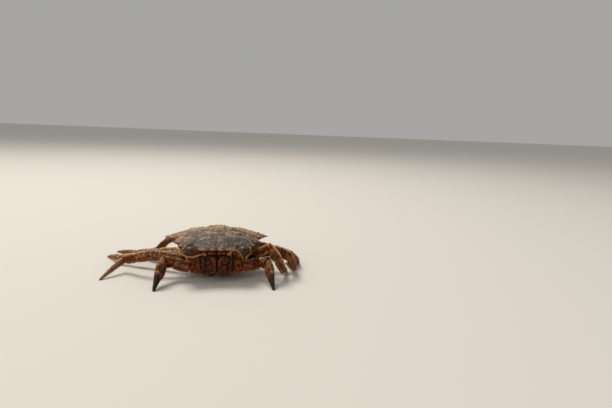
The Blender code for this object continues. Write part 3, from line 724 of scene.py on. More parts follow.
def body_bmesh():
    """The walls, the front and the breast of the body, under the carapace."""
    outline = worn(toothed_edge(BODY_SIDES), 160)
    wide = outline[:, 0].max()
    front, rear = outline[:, 1].min(), outline[:, 1].max()
    levels = evened(BODY_LEVELS, WALL_RINGS + 1, 10)
    rings = CAP_RINGS + WALL_RINGS + BREAST_RINGS

    def place(side, ring):
        level = levels[min(max(ring - CAP_RINGS, 0), WALL_RINGS)]
        height, half_width, front_y, rear_y = level
        across = outline[side][0] / wide * half_width
        along = blend(front_y, rear_y, (outline[side][1] - front) / (rear - front))
        fuller = ramp(0.35, 0.75, abs(outline[side][0]) / wide)
        fuller *= ramp(9.5, 4.5, along)
        across *= 1.0 + 0.30 * fuller * ramp(5.8, 7.6, height)
        middle = (front_y + rear_y) / 2
        share = min(ring / CAP_RINGS, (rings - ring) / BREAST_RINGS, 1.0)
        return Vector((across * share, blend(middle, along, share), height))

    def look(point, normal, turn, run):
        side = abs(point.x)
        facing = ramp(0.2, 0.7, -normal.y)
        below = ramp(0.5, 0.9, -normal.z)
        wave = waves(point, 2.0)
        # the frame of the mouth, the ridge under the eye and the cheeks
        within = ramp(MOUTH_HALF_WIDTH + 0.4, MOUTH_HALF_WIDTH - 0.4, side)
        within *= ramp(MOUTH_LOW_Z - 0.4, MOUTH_LOW_Z + 0.4, point.z)
        within *= ramp(MOUTH_HIGH_Z + 0.4, MOUTH_HIGH_Z - 0.4, point.z)
        jamb = hump(side, MOUTH_HALF_WIDTH + 0.7, 0.45) * ramp(2.6, 4.0, point.z)
        jamb *= ramp(11.6, 10.6, point.z)
        sill_z = 10.5 + 0.05 * (side - 6.0)
        sill = hump(point.z, sill_z, 0.45) * ramp(5.6, 7.2, side)
        sill *= ramp(15.0, 13.0, side)
        cheek = hump(side, 9.8, 2.4) * hump(point.z, 7.2, 2.2)
        # the pale ridge down the cheek, outside the eye
        rise = ramp(9.3, 11.6, point.z)
        strut_x, strut_y = blend(11.1, 12.4, rise), blend(5.5, 6.1, rise)
        strut = hump(math.hypot(side - strut_x, point.y - strut_y), 0.0, 0.62)
        strut *= ramp(6.6, 7.6, point.z) * ramp(12.6, 12.2, point.z)
        seam = hump(point.z, 8.9 - 0.12 * (point.y - 3.0), 0.28) * ramp(6.5, 8.5, side)
        lift = facing * (0.75 * jamb + 0.55 * sill + 0.5 * cheek - 0.9 * within) + 0.6 * strut
        lift -= 0.25 * seam * (1 - below)
        # the plates of the breast
        groove = max(hump(point.y + 0.10 * side, place_y, 0.35) for place_y in BREAST_GROOVES_Y)
        lift -= 0.35 * below * groove * ramp(1.5, 3.5, side)
        lift -= 0.30 * below * hump(side, 0.0, 0.4)
        rough = grains(point, *BODY_GRAIN) * (1 - within) * (1 - 0.6 * below)
        lift += 0.14 * rough + 0.10 * wave * (1 - within)
        ridge = max(facing * max(jamb, sill) * 0.4, 0.3 * below, 1.3 * strut)
        pale = ramp(0.0, 0.6, wave) * 0.3
        # Inside the mouth's frame the wall is painted dark, as painted shade in the hollow behind
        # the plates; the seam and the breast grooves are darkened lines, and the rest is mottling.
        dark = max(
            facing * within, 0.8 * seam, 0.7 * ramp(-0.1, -0.5, wave),
            0.6 * below * groove)
        dark *= 1 - strut
        return lift, (rough * 0.7, max(ridge * 0.8, pale), 0.0, dark)

    return skin(BODY_SIDES, rings, place, look)


def abdomen_bmesh():
    """The narrow tail flap: down the rear of the body, then forward under it."""
    sides, rings = 72, 120
    line = evened(ABDOMEN_LINE, rings + 1, 12)
    ways = np.gradient(line, axis=0)

    def place(side, ring):
        share = ring / rings
        turn = 2 * math.pi * side / sides
        closing = math.sqrt(min(share / 0.015, (1.0 - share) / 0.06, 1.0))
        across = rounded(math.cos(turn), 0.7)
        across *= through(ABDOMEN_HALF_WIDTHS, share) * closing
        depth = rounded(math.sin(turn), 0.8)
        depth *= ABDOMEN_THICKNESS / 2 * closing
        along = Vector(ways[ring]).normalized()
        y, z = line[ring]
        wrap = ABDOMEN_WRAP * across ** 2 * ramp(3.0, 6.0, z)
        return Vector((across, y - along.y * depth - wrap, z + along.x * depth))

    def look(point, normal, turn, run):
        joint = max(hump(run, joint_place, 0.009) for joint_place in ABDOMEN_JOINTS)
        outer = ramp(0.2, 0.7, max(normal.y, -normal.z))
        keel = hump(point.x, 0.0, 1.1)
        wave = waves(point, 1.6)
        grain = grains(point, *FLAP_GRAIN) * outer * (1 - joint)
        lift = outer * (0.16 * keel - 0.24 * joint) + 0.05 * grain + 0.04 * wave
        pale = 0.45 * keel + 0.3 * ramp(0, 0.5, wave)
        return lift, (0.5 * grain, pale, 0.0, 0.8 * joint)

    return skin(sides, rings, place, look)


# ------------------------------------------------------------- bars and limbs
def frame_along(start, along):
    """Local X runs along, Y across and Z is up, from a start in mm."""
    across = Vector((0.0, 0.0, 1.0)).cross(along).normalized()
    matrix = Matrix((along, across, along.cross(across))).transposed().to_4x4()
    matrix.translation = start
    return matrix


def lean(matrix, normal):
    """How far a mitred end moves along X for each mm across and up."""
    if normal is None:
        return (0.0, 0.0)
    local = matrix.to_3x3().inverted() @ normal
    return (-local.y / local.x, -local.z / local.x)


def ridge_share(part, turn):
    """How much a place round a part is on one of its ridges, high ones most,
    and how high it stands."""
    share, height = 0.0, 0.0
    for place, reach, rise in RIDGES[part]:
        away = (turn - place + 180.0) % 360.0 - 180.0
        on = hump(away, 0.0, reach)
        share = max(share, on * min(rise / 0.10, 1.0))
        height = max(height, on * rise)
    return share, height


def bar_bmesh(part, matrix, rows, length, leans=((0, 0), (0, 0)), look=None, sides=44, rings=72,
              square=0.92):
    """A ridged, grained bar of shell along local X.

    Each row is the place along X, the height of the middle line, and the half
    height and half width there. The first and last rows have no thickness."""
    table = evened(rows, rings + 1)
    bead_spacing, bead_height = BEADS[part]

    def bead(reach):
        return 0.5 - 0.5 * math.cos(2 * math.pi * reach / bead_spacing)

    def place(side, ring):
        reach, middle, half_height, half_width = table[ring]
        turn = 360.0 * side / sides
        on, rise = ridge_share(part, turn)
        inside = ramp(-0.1, 0.8, reach) * ramp(length + 0.2, length - 0.8, reach)
        if part == "claw":
            inside *= ramp(0.62, 0.48, reach / length)
        bulge = 0.95 + inside * rise
        across = rounded(math.cos(math.radians(turn)), square)
        up = rounded(math.sin(math.radians(turn)), square)
        spike = inside * bead(reach) * bead_height * on * min(half_height, 1.0)
        across *= half_width * bulge + spike * 0.6
        up = up * (half_height * bulge + spike) + middle
        share = min(max(reach / length, 0.0), 1.0)
        first = 1.0 - ramp(0.0, 0.65, share)
        last = ramp(0.35, 1.0, share)
        reach += first * (leans[0][0] * across + leans[0][1] * up)
        reach += last * (leans[1][0] * across + leans[1][1] * up)
        return matrix @ Vector((reach, across, up))

    def dress(point, normal, turn, run):
        reach = float(np.interp(run * rings, range(rings + 1), table[:, 0]))
        turn *= 360.0
        on = ridge_share(part, turn)[0]
        shell = ramp(0.10, 0.32, reach) * ramp(length + 0.1, length - 0.15, reach)
        grain = grains(point, *LIMB_GRAIN) * shell * (1 - 0.7 * on)
        wave = waves(point, 1.8)
        lift = (0.08 * grain + 0.07 * wave) * shell * min(1.0, length / 6)
        ridge = on * (0.72 + 0.28 * bead(reach)) * shell
        marks = [grain * 0.8, ridge, 1.0 - shell, 0.0]
        if look:
            look(marks, reach / length, turn, on, point)
        return lift, marks

    return skin(sides, rings, place, dress)


def shell_rows(part, length, height, width, bow, tip):
    """The rows of a segment: its neck, its shell, and its hollow end or tip."""
    (_, start), *stops, (_, end) = FULLNESS[part]

    def row(reach, fullness):
        share = min(max(reach / length, 0.0), 1.0)
        half_width = width / 2 * blend(1.0, fullness, 0.85) * (fullness > 0)
        return (reach, bow * math.sin(math.pi * share), height / 2 * fullness, half_width)

    return [
        *(row(reach, full * start) for reach, full in NECK),
        *(row(share * length, fullness) for share, fullness in stops),
        *(row(length - back, full * end) for back, full in (TIP if tip else HOLLOW))]


def direction(side, azimuth, rise):
    """A unit vector from a side, an azimuth and a rise in degrees."""
    turn, lift = math.radians(azimuth), math.radians(rise)
    flat = math.cos(lift)
    return Vector((
        SIGN[side] * flat * math.cos(turn), flat * math.sin(turn), math.sin(lift)))


def limb_sizes(pair):
    """Length, height and thickness of each of a limb's segments."""
    if pair == 1:
        return list(zip(CLAW_LENGTHS, CLAW_HEIGHTS, CLAW_WIDTHS))
    scale, thickness = PAIR_SCALE[pair], PAIR_THICKNESS[pair]
    return [
        (length * scale, height * thickness, width * thickness)
        for length, height, width in zip(LEG_LENGTHS, LEG_HEIGHTS, LEG_WIDTHS)]


def limb_line(side, pair):
    """The limb's joints from its root to its tip, and its directions. The
    first direction is that of the coxa, which ends at the first joint."""
    root = CLAW_ROOT if pair == 1 else PAIR_ROOT[pair]
    place = Vector((SIGN[side] * root[0], root[1], root[2]))
    azimuth, rise = POSE[(side, pair)][0]
    ways = [direction(
        side, blend(COXA_AZIMUTH[pair], azimuth, COXA_YIELD), blend(COXA_RISE, rise, COXA_YIELD))]
    joints = [place]
    for (length, _, _), angles in zip(limb_sizes(pair), POSE[(side, pair)]):
        rise = angles[1] if len(angles) == 2 else math.degrees(
            math.asin((TIP_HEIGHT - place.z) / length))
        along = direction(side, angles[0], rise)
        place = place + along * length
        joints.append(place)
        ways.append(along)
    return joints, ways


def segment_bmesh(part, joints, ways, index, size, look):
    """One segment of a limb, mitred to its neighbours at the joints."""
    length, height, width = size
    along = ways[index + 1]
    last = index == len(joints) - 2
    matrix = frame_along(joints[index], along)
    leans = (
        lean(matrix, ways[index] + along),
        lean(matrix, None if last else along + ways[index + 2]))
    bow = DACTYLUS_BOW if part == "dactylus" else 0.0
    rows = shell_rows(part, length, height, width, bow, last)
    return bar_bmesh(part, matrix, rows, length, leans, look)


def leg_look(part, pair):
    """Dark bands and blotches of a leg or a claw's arm, and its horny tip. Along
    the top of a leg is a pale line, partly its own colour and partly painted
    light on the upper side; near the body a merus is painted paler still, as
    painted light where the carapace shades it."""
    def look(marks, share, turn, on, point):
        wander = noise.noise(point / 1.1 + Vector((pair * 5.0, 0.0, 0.0)))
        if pair == 1:
            marks[1] *= 0.45
        else:
            # Painted light: the top of a merus is painted paler near the body, where the carapace
            # shades it; the rest of the top line is partly its own colour.
            painted_light_near_body = ramp(0.6, 0.2, share) if part == "merus" else 0.0
            top = hump(turn, 90.0, 40.0 + 10.0 * painted_light_near_body) * (1 - marks[2])
            marks[1] = max(marks[1], top * max(ramp(-0.55, 0.15, wander), painted_light_near_body))
        if part == "dactylus":
            marks[2] *= share < 0.5
            side = max(hump(turn, 40.0, 18.0), hump(turn, 140.0, 18.0))
            marks[3] = 0.6 * ramp(0.86, 0.97, share + 0.04 * wander)
            marks[3] = max(marks[3], 0.6 * side, 0.6 * ramp(0.0, 0.35, wander) * (1 - on))
            return
        band = math.sin(2 * math.pi * (share * (9.0 if part == "merus" else 2.6) + 0.5 * wander))
        window = ramp(0.35, 0.5, share) * ramp(0.95, 0.8, share)
        stripe = ramp(0.1, 0.7, band) * window * (0.75 if part == "merus" else 0.45)
        face = ramp(-0.05, 0.25, wander) * 0.85
        marks[3] = max(stripe, face) * (1 - 0.85 * on) * (1 - marks[2])
    return look


def claw_rows(finger):
    """The palm with its fixed finger, or the moving finger above it."""
    length, height, width = limb_sizes(1)[2]
    knuckle = KNUCKLE * length
    rows = []
    steps = 60
    for step in range(steps + 1):
        share = step / steps
        fullness = through(FULLNESS["claw"], share)
        middle = CLAW_BOW * math.sin(math.pi * share)
        top = middle + height / 2 * fullness
        bottom = middle - height / 2 * fullness
        split = blend(0.5, 0.0, ramp(0.6, 1.0, share))
        bite = 0.10 * math.sin(share * length * 2 * math.pi / 1.1) * ramp(0.98, 0.8, share)
        reach = share * length
        if finger:
            if reach < knuckle - 0.7:
                continue
            opening = ramp(knuckle - 0.7, knuckle + 0.9, reach)
            bottom = blend(split + 0.9, split + 0.12 - bite, opening)
            top -= blend(1.1, 0.15, ramp(knuckle - 0.7, knuckle + 0.7, reach))
        else:
            drop = ramp(knuckle - 0.9, knuckle + 0.5, reach)
            top = blend(top, split - 0.12 + bite, drop)
        half = max((top - bottom) / 2, 0.18)
        thick = width / 2 * through(CLAW_WIDTH_STOPS, share)
        if finger:
            thick *= blend(0.55, 0.88, ramp(knuckle - 0.7, knuckle + 0.9, reach))
        rows.append((reach, (top + bottom) / 2, half, thick))
    first, last = rows[0], rows[-1]
    if finger:
        head = [
            (first[0] - 0.05, first[1], 0.0, 0.0),
            (first[0], first[1], first[2] * 0.7, first[3] * 0.7)]
    else:
        head = [(-0.5, 0.0, 0.0, 0.0), (-0.45, 0.0, 0.9, 0.7), (0.12, 0.0, 1.0, 0.8)]
        rows = [row for row in rows if row[0] > 0.3]
    return [
        *head, *rows, (last[0], last[1], last[2] * 0.5, last[3] * 0.5),
        (last[0], last[1], 0.0, 0.0)]


def claw_look(finger):
    """Dark horny fingers; slate patches and broken pale ridges on the palm."""
    def look(marks, share, turn, on, point):
        wander = noise.noise(point / 1.1)
        marks[2] *= share < 0.3
        upper = hump((turn - 80.0 + 180.0) % 360.0 - 180.0, 0.0, 75.0)
        patch = ramp(-0.3, 0.3, noise.noise(point / 0.8 + Vector((3.0, 0.0, 0.0))))
        marks[1] *= ramp(0.62, 0.5, share) * (0.15 + 0.85 * upper) * patch
        horn = ramp(0.50, 0.62, share + 0.05 * wander)
        if finger:
            marks[3] = horn
            return
        slate = 0.85 * ramp(-0.15, 0.15, wander + 0.12 * math.cos(math.radians(turn)))
        slate *= ramp(0.08, 0.34, share)
        marks[3] = max(horn, slate * (1 - 0.8 * marks[1]) * (1 - marks[2]))
    return look


# ------------------------------------------------------- eyes, feelers and mouth
def tube_bmesh(route, radii, sides, rings, ringing, spacing, marks):
    """A round tube along a smooth bend through a few places, closed at its ends.
    It has rings at that spacing, which swell it by the ringing."""
    route = [Vector(place) for place in route]
    padded = [route[0] * 2 - route[1], *route, route[-1] * 2 - route[-2]]
    smooth = []
    for index in range(1, len(padded) - 2):
        before, first, second, after = padded[index - 1:index + 3]
        for step in range(12):
            share = step / 12
            smooth.append(0.5 * (
                first * 2 + (second - before) * share
                + (before * 2 - first * 5 + second * 4 - after) * share ** 2
                + (first * 3 - before - second * 3 + after) * share ** 3))
    smooth.append(route[-1])
    table = evened(smooth, rings - 1, 0)
    ways = np.gradient(table, axis=0)
    total = float(np.linalg.norm(np.diff(table, axis=0), axis=1).sum())

    def place(side, ring):
        index = min(max(ring - 1, 0), rings - 2)
        centre = Vector(table[index])
        if ring in (0, rings):
            return centre
        share = index / (rings - 2)
        radius = through(radii, share)
        radius *= 1.0 + ringing * math.sin(2 * math.pi * share * total / spacing)
        along = Vector(ways[index]).normalized()
        across = along.cross(Vector((0.0, 0.3, 1.0))).normalized()
        turn = 2 * math.pi * side / sides
        return centre + (across * math.cos(turn) + along.cross(across) * math.sin(turn)) * radius

    def look(point, normal, turn, run):
        ring = 0.5 + 0.5 * math.sin(2 * math.pi * run * total / spacing)
        return 0.0, (marks[0], marks[1] * ring, marks[2], marks[3])

    return skin(sides, rings, place, look)


def knob_bmesh(centre, half, square):
    """A rounded knob: half sizes across, deep and high."""
    sides, rings = 24, 16

    def place(side, ring):
        turn = 2 * math.pi * side / sides
        rise = math.pi * (ring / rings - 0.5)
        flat = max(math.cos(rise), 0.0) ** square
        return Vector((
            centre[0] + rounded(math.cos(turn), square) * flat * half[0],
            centre[1] + rounded(math.sin(turn), 0.9) * flat * half[1],
            centre[2] + rounded(math.sin(rise), square) * half[2]))

    def look(point, normal, turn, run):
        grain = grains(point, *KNOB_GRAIN)
        wave = waves(point, 1.2)
        edge = 1.0 - ramp(0.3, 0.8, abs(normal.y))
        return 0.05 * grain + 0.05 * wave, (
            grain * 0.6, 0.55 * edge, 0.0, 0.75 * ramp(-0.2, 0.4, wave))

    return skin(sides, rings, place, look)


def eye_axis(sign):
    """The eye's middle, the root of its stalk, and the way between them."""
    centre = Vector((sign * EYE_CENTRE[0], EYE_CENTRE[1], EYE_CENTRE[2]))
    root = Vector((sign * STALK_ROOT[0], STALK_ROOT[1], STALK_ROOT[2]))
    return centre, root, (centre - root).normalized()


def cornea_bmesh(sign):
    """A ball, cut off behind the eye's middle, where the stalk holds it."""
    centre, _, along = eye_axis(sign)
    matrix = frame_along(centre, along)
    sides, rings = 64, 40
    split = -0.66  # the cornea begins well behind the eye's middle

    def place(side, ring):
        share = ring / rings
        if share < 0.12:
            rise, pinch = split, share / 0.12
        else:
            rise = math.sin(blend(math.asin(split), math.pi / 2, (share - 0.12) / 0.88))
            pinch = 1.0
        radius = math.sqrt(max(1.0 - rise * rise, 0.0)) * pinch
        turn = 2 * math.pi * side / sides
        spot = Vector((rise, math.cos(turn) * radius, math.sin(turn) * radius))
        return matrix @ (spot * EYE_RADIUS)

    def look(point, normal, turn, run):
        # Painted highlight: paler grey where the eye faces up.
        upper = ramp(0.55, 0.9, normal.z)
        edge = ramp(-0.25, -0.6, (point - centre).dot(along) / EYE_RADIUS)
        return 0.0, (0.0, 0.55 * upper, 0.8 * edge, 0.0)

    return skin(sides, rings, place, look)


def eyestalk_bmesh(sign):
    """The stalk: it widens to a cup that holds the cornea."""
    centre, root, along = eye_axis(sign)
    reach = (centre - root).length
    cup = EYE_RADIUS * 0.78
    rows = [
        (0.0, 0.0, 0.0, 0.0), (0.0, 0.0, 0.8, 0.8), (reach * 0.35, 0.0, 0.95, 0.95),
        (reach - 1.9, 0.0, 1.2, 1.15), (reach - 1.45, 0.0, cup, cup),
        (reach - 1.15, 0.0, cup, cup), (reach - 1.25, 0.0, cup * 0.8, cup * 0.8),
        (reach - 1.3, 0.0, 0.0, 0.0)]

    def look(marks, share, turn, on, point):
        marks[2] = 0.0
        marks[3] = 0.4 + 0.5 * ramp(-0.1, 0.4, noise.noise(point / 0.8))

    return bar_bmesh("coxa", frame_along(root, along), rows, reach, look=look, sides=40, rings=40)


def mouth_look(marks, share, turn, on, point):
    wander = waves(point, 1.1)
    marks[1] *= 0.12
    marks[2] = 0.7 * ramp(0.20, 0.55, wander)
    marks[3] = 0.95 * ramp(0.20, -0.15, wander)


def palp_look(marks, share, turn, on, point):
    marks[1] *= 0.5
    marks[2] = 0.6


def mouth_part(sign, foot, top, sizes, depth, forward, look):
    """One plate or joint of the mouth, from a row of MOUTH_PARTS."""
    start = Vector((sign * foot[0], MOUTH_PLATE_Y - forward, foot[1]))
    end = Vector((sign * top[0], MOUTH_PLATE_Y - forward, top[1]))
    along = (end - start).normalized()
    front = Vector((0.0, -1.0, 0.0))
    matrix = Matrix((along, front.cross(along), front)).transposed().to_4x4()
    matrix.translation = start
    length = (end - start).length
    rows = [(0.0, 0.0, 0.0, 0.0)]
    for share, half in sizes:
        end_share = 0.6 if share in (0.0, 1.0) else 1.0
        rows.append((share * length, 0.0, depth * min(1.0, 0.5 + half / 2) * end_share, half))
    rows.append((length, 0.0, 0.0, 0.0))
    return bar_bmesh("mouth", matrix, rows, length, look=look, sides=40, rings=44, square=0.6)


# The parts of a third maxilliped: two broad plates, the outer rod and the three
# joints of the folded palp. Each has its foot and top, as (distance from the
# middle line, height), its half widths by shares of its height, its depth, how
# far forward it stands and its look.
PALP_JOINT = ((0.0, 0.35), (0.25, 0.55), (0.7, 0.55), (1.0, 0.35))
MOUTH_PARTS = (
    ((2.35, 3.0), (2.12, 7.75), (
        (0.0, 0.9), (0.08, 1.35), (0.3, 1.75), (0.6, 2.05), (0.92, 2.1), (1.0, 1.6)),
     0.62, 0.0, mouth_look),
    ((2.15, 7.85), (2.5, 10.9), (
        (0.0, 1.5), (0.1, 2.0), (0.45, 2.15), (0.75, 1.9), (0.92, 1.35), (1.0, 0.8)),
     0.66, 0.0, mouth_look),
    ((4.55, 3.5), (5.35, 11.0), (
        (0.0, 0.35), (0.1, 0.55), (0.5, 0.6), (0.85, 0.45), (1.0, 0.2)),
     0.6, -0.1, mouth_look),
    ((1.9, 10.4), (1.2, 9.5), PALP_JOINT, 0.5, 0.65, palp_look),
    ((1.15, 9.6), (0.85, 8.3), PALP_JOINT, 0.45, 0.75, palp_look),
    ((0.85, 8.4), (0.75, 6.9), ((0.0, 0.4), (0.3, 0.5), (0.8, 0.3), (1.0, 0.15)),
     0.4, 0.7, palp_look),
)


def mouth_plate_bmesh(sign):
    return joined([mouth_part(sign, *part) for part in MOUTH_PARTS])


ANTENNA_ROUTE = {
    -1: ((-4.6, 1.4, 11.9), (-6.8, -0.5, 11.6), (-8.8, -1.3, 11.4), (-11.0, -1.3, 11.7),
         (-13.6, 0.0, 12.6), (-17.9, 2.6, 13.4)),
    1: ((4.6, 1.4, 11.9), (5.0, -0.6, 13.0), (6.3, -1.6, 13.9), (7.9, -1.7, 13.3),
        (9.1, -1.4, 11.4), (9.5, -0.9, 9.8)),
}


def antenna_bmesh(sign):
    """Two stout base joints, then a fine ringed whip."""
    return joined([
        tube_bmesh(
            ANTENNA_ROUTE[sign], ((0, 0.34), (0.12, 0.26), (0.6, 0.21), (1, 0.12)), 16, 190,
            0.03, 0.30, (0.0, 0.6, 0.0, 0.0)),
        knob_bmesh((sign * 4.5, 1.9, 11.5), (0.85, 0.75, 0.75), 0.85),
        knob_bmesh((sign * 4.9, 1.35, 11.85), (0.60, 0.55, 0.55), 0.9)])


def antennule_bmesh(sign):
    """The small inner feeler, folded away sideways under the front edge."""
    return joined([
        tube_bmesh(
            [(sign * 0.9, 1.9, 11.9), (sign * 2.2, 0.8, 12.1), (sign * 3.3, 1.3, 11.9)],
            ((0, 0.5), (0.3, 0.42), (0.7, 0.5), (1, 0.3)), 20, 50, 0.05, 0.35,
            (0.0, 0.15, 0.0, 0.3)),
        knob_bmesh((sign * 1.1, 2.0, 11.7), (0.75, 0.6, 0.6), 0.9)])


# -------------------------------------------------------------------- bristles
def bristle_shape():
    """One bristle: a thin three-sided spike, 1 long and 1 in radius."""
    bm = bmesh.new()
    bmesh.ops.create_cone(
        bm, cap_ends=True, segments=3, radius1=1.0, radius2=0.0, depth=1.0)
    slanted = [edge for edge in bm.edges if abs(edge.verts[0].co.z - edge.verts[1].co.z) > 0.5]
    bmesh.ops.subdivide_edges(bm, edges=slanted, cuts=1)
    bmesh.ops.triangulate(bm, faces=bm.faces)
    bm.verts.index_update()
    points = np.array([(vert.co.x, vert.co.y, vert.co.z + 0.5) for vert in bm.verts])
    faces = np.array([[vert.index for vert in face.verts] for face in bm.faces])
    bm.free()
    return points, faces


def unit(vectors):
    return vectors / np.maximum(np.linalg.norm(vectors, axis=1, keepdims=True), 1e-9)


def listed(items, name, width=1, kind=float):
    """A value of each face, corner or point of a mesh, as an array."""
    found = np.empty(len(items) * width, kind)
    items.foreach_get(name, found)
    return found if width == 1 else found.reshape(-1, width)


def mesh_values(piece):
    """A piece's faces: middle, normal, area, and the values kept on its points."""
    mesh = piece.data
    first = listed(mesh.polygons, "loop_start", kind=np.int32)
    corner = listed(mesh.loops, "vertex_index", kind=np.int32)[first]
    values = {
        "middle": listed(mesh.polygons, "center", 3),
        "normal": listed(mesh.polygons, "normal", 3), "area": listed(mesh.polygons, "area"),
        "marks": listed(mesh.attributes["marks"].data, "color", 4)[corner]}
    for name in ("turn", "run"):
        values[name] = listed(mesh.attributes[name].data, "value")[corner]
    return values


def grown(piece, kind, seed, density, lie, row=(0, 1)):
    """Bristles of one kind on a piece, as arrays. Density and lie are functions
    of the piece's values. The row is the piece's strip of the coat's map."""
    values = mesh_values(piece)
    count, length, lift, thickness = BRISTLES[kind]
    if kind in ("pile", "fringe"):
        count = int(values["area"].sum() / MM ** 2 * count)
    random = np.random.default_rng(seed)
    weight = values["area"] * np.maximum(density(values), 0.0)
    pick = random.choice(len(weight), count, p=weight / weight.sum())
    chosen = {name: value[pick] for name, value in values.items()}
    normal = unit(chosen["normal"])
    jitter = random.normal(size=(count, 3)) * np.sqrt(chosen["area"])[:, None] * SCATTER
    root = chosen["middle"] + jitter - normal * (jitter * normal).sum(1, keepdims=True)
    way = lie(chosen) + random.normal(size=(count, 3)) * LIE_SPREAD
    way = unit(way - normal * (way * normal).sum(1, keepdims=True))
    stand = lift + random.normal(size=count) * STAND_SPREAD
    stand = np.clip(stand, LEAST_STAND, 1.0)[:, None]
    start = unit(way * (1.0 - stand) + normal * stand)
    if kind == "fringe":
        length = np.where(chosen["turn"] > 0.5, length, FRINGE_ABOVE)
    size = length * random.uniform(SHORTEST, LONGEST, count) * MM
    strip = row[0] + STRIP_MARGIN + (1 - 2 * STRIP_MARGIN) * chosen["run"]
    place = np.column_stack((chosen["turn"], strip / row[1]))
    return {
        "root": root - normal * ROOT_DEPTH * MM, "start": start, "bend": way - start,
        "size": size, "thick": thickness * MM * random.uniform(THINNEST, THICKEST, count),
        "place": place, "shade": random.uniform(0.0, 1.0, count),
        "bright": chosen["marks"][:, 1], "dark": chosen["marks"][:, 3]}


def coat(name, lots, material, slot):
    """One piece of bristles from several lots. Its map OFBake puts each bristle
    in a patch 0.003 across, at its root's place on the unwrapped skin."""
    points, faces = bristle_shape()
    lots = {key: np.concatenate([lot[key] for lot in lots]) for key in lots[0]}
    count = len(lots["size"])
    along = points[:, 2]
    size, thick = lots["size"][:, None, None], lots["thick"][:, None, None]
    across = unit(np.cross(lots["start"], np.array([0.31, 0.17, 0.93])))
    other = np.cross(lots["start"], across)
    co = lots["root"][:, None] + lots["start"][:, None] * (along[:, None] * size)
    co = co + lots["bend"][:, None] * ((BRISTLE_CURL * along[:, None] ** 2) * size)
    co = co + across[:, None] * points[:, 0:1] * thick
    co = co + other[:, None] * points[:, 1:2] * thick
    co = co.reshape(-1, 3)
    co[:, 2] = np.maximum(co[:, 2], BRISTLE_CLEARANCE)
    corners = (faces[None] + len(points) * np.arange(count)[:, None, None]).reshape(-1)
    mesh = bpy.data.meshes.new(name)
    mesh.vertices.add(len(co))
    mesh.vertices.foreach_set("co", co.ravel())
    mesh.loops.add(len(corners))
    mesh.loops.foreach_set("vertex_index", corners.astype(np.int32))
    mesh.polygons.add(len(corners) // 3)
    mesh.polygons.foreach_set("loop_start", np.arange(0, len(corners), 3, dtype=np.int32))
    mesh.update(calc_edges=True)
    patch = np.column_stack((points[:, 0], 2 * along - 1)) * PATCH_RADIUS
    spots = (lots["place"][:, None, :] + patch[None]).reshape(-1, 2)
    layer = mesh.uv_layers.new(name="OFBake")
    layer.data.foreach_set("uv", spots[corners].ravel())
    marks = np.zeros((count, len(points), 4))
    marks[:, :, 0] = 0.25 * along[None] + 0.75 * lots["shade"][:, None]
    marks[:, :, 1] = lots["bright"][:, None] * lots["shade"][:, None]
    marks[:, :, 2] = lots["dark"][:, None]
    marks[:, :, 3] = 1.0
    attribute = mesh.attributes.new("marks", "FLOAT_COLOR", "POINT")
    attribute.data.foreach_set("color", marks.ravel())
    added(mesh, name, material, slot)


def along_way(way):
    """Bristles that all lie one way."""
    return lambda values: np.tile(np.array(way), (len(values["area"]), 1))


def clumps(values, size_mm):
    """Bristles grow in clumps of about this size: 0 between them, 1 inside."""
    found = [noise.noise(Vector(place) / (size_mm * MM)) for place in values["middle"]]
    return np.clip(0.5 + 1.6 * np.array(found), 0.0, 1.0)


def leg_bristles(pieces, ways, seed):
    """Short flat pile all over the segments, and longer fringes along their
    ridges, longest below."""
    def bare(values):
        return (values["marks"][:, 2] < 0.4) * (values["marks"][:, 3] < 0.85)

    def pile(values):
        return bare(values) * (1.0 - 0.9 * values["marks"][:, 1]) * (0.25 + clumps(values, 0.8))

    def fringe(values):
        below = np.exp(-((values["turn"] - 0.75) / 0.16) ** 2)
        above = 0.25 * values["marks"][:, 1] ** 2
        return bare(values) * (below + above) * clumps(values, 0.5)

    lots = []
    for index, (piece, way) in enumerate(zip(pieces, ways)):
        row = (index, len(pieces))
        lots.append(grown(piece, "pile", seed + index, pile, along_way(way), row))
        lots.append(grown(piece, "fringe", seed + 40 + index, fringe, along_way(way), row))
    return lots


# ----------------------------------------------------------------- the assembly
def make_limbs(shells):
    """The legs and claws. Returns the bristles of each, for its coat."""
    coats = {}
    for side in SIGN:
        roots = []
        for pair in range(1, 6):
            joints, ways = limb_line(side, pair)
            roots.append(coxa_bmesh(pair, joints, ways))
            pieces = limb_pieces(side, pair, joints, ways, shells)
            lies = [*ways[1:], ways[-1]]  # the last for a claw's moving finger
            coats[(side, pair)] = leg_bristles(pieces, lies, 100 * pair + (side == "left"))
        finished(joined(roots), f"limb_roots_{side}", shells["body"], "body_shell")
    return coats


def coxa_bmesh(pair, joints, ways):
    """The coxa and the short ring after it, from inside the body outwards."""
    height = (CLAW_HEIGHTS[0] if pair == 1 else LEG_HEIGHTS[0]) * 0.9 / 2
    width = (CLAW_WIDTHS[0] if pair == 1 else LEG_WIDTHS[0]) * 1.15 / 2
    length = COXA_LENGTH
    start = joints[0] - ways[0] * length
    matrix = frame_along(start, ways[0])
    rows = [(share * length, 0.0, height * full, width * full) for share, full in (
        (0.0, 0.0), (0.0, 0.9), (0.3, 1.08), (0.62, 1.08), (0.70, 0.98), (0.715, 0.84),
        (0.74, 0.84), (0.76, 0.97), (0.93, 0.99), (0.975, 0.93), (0.965, 0.8), (0.90, 0.6),
        (0.89, 0.0))]
    leans = ((0.0, 0.0), lean(matrix, ways[0] + ways[1]))
    return bar_bmesh("coxa", matrix, rows, length, leans, rings=56)


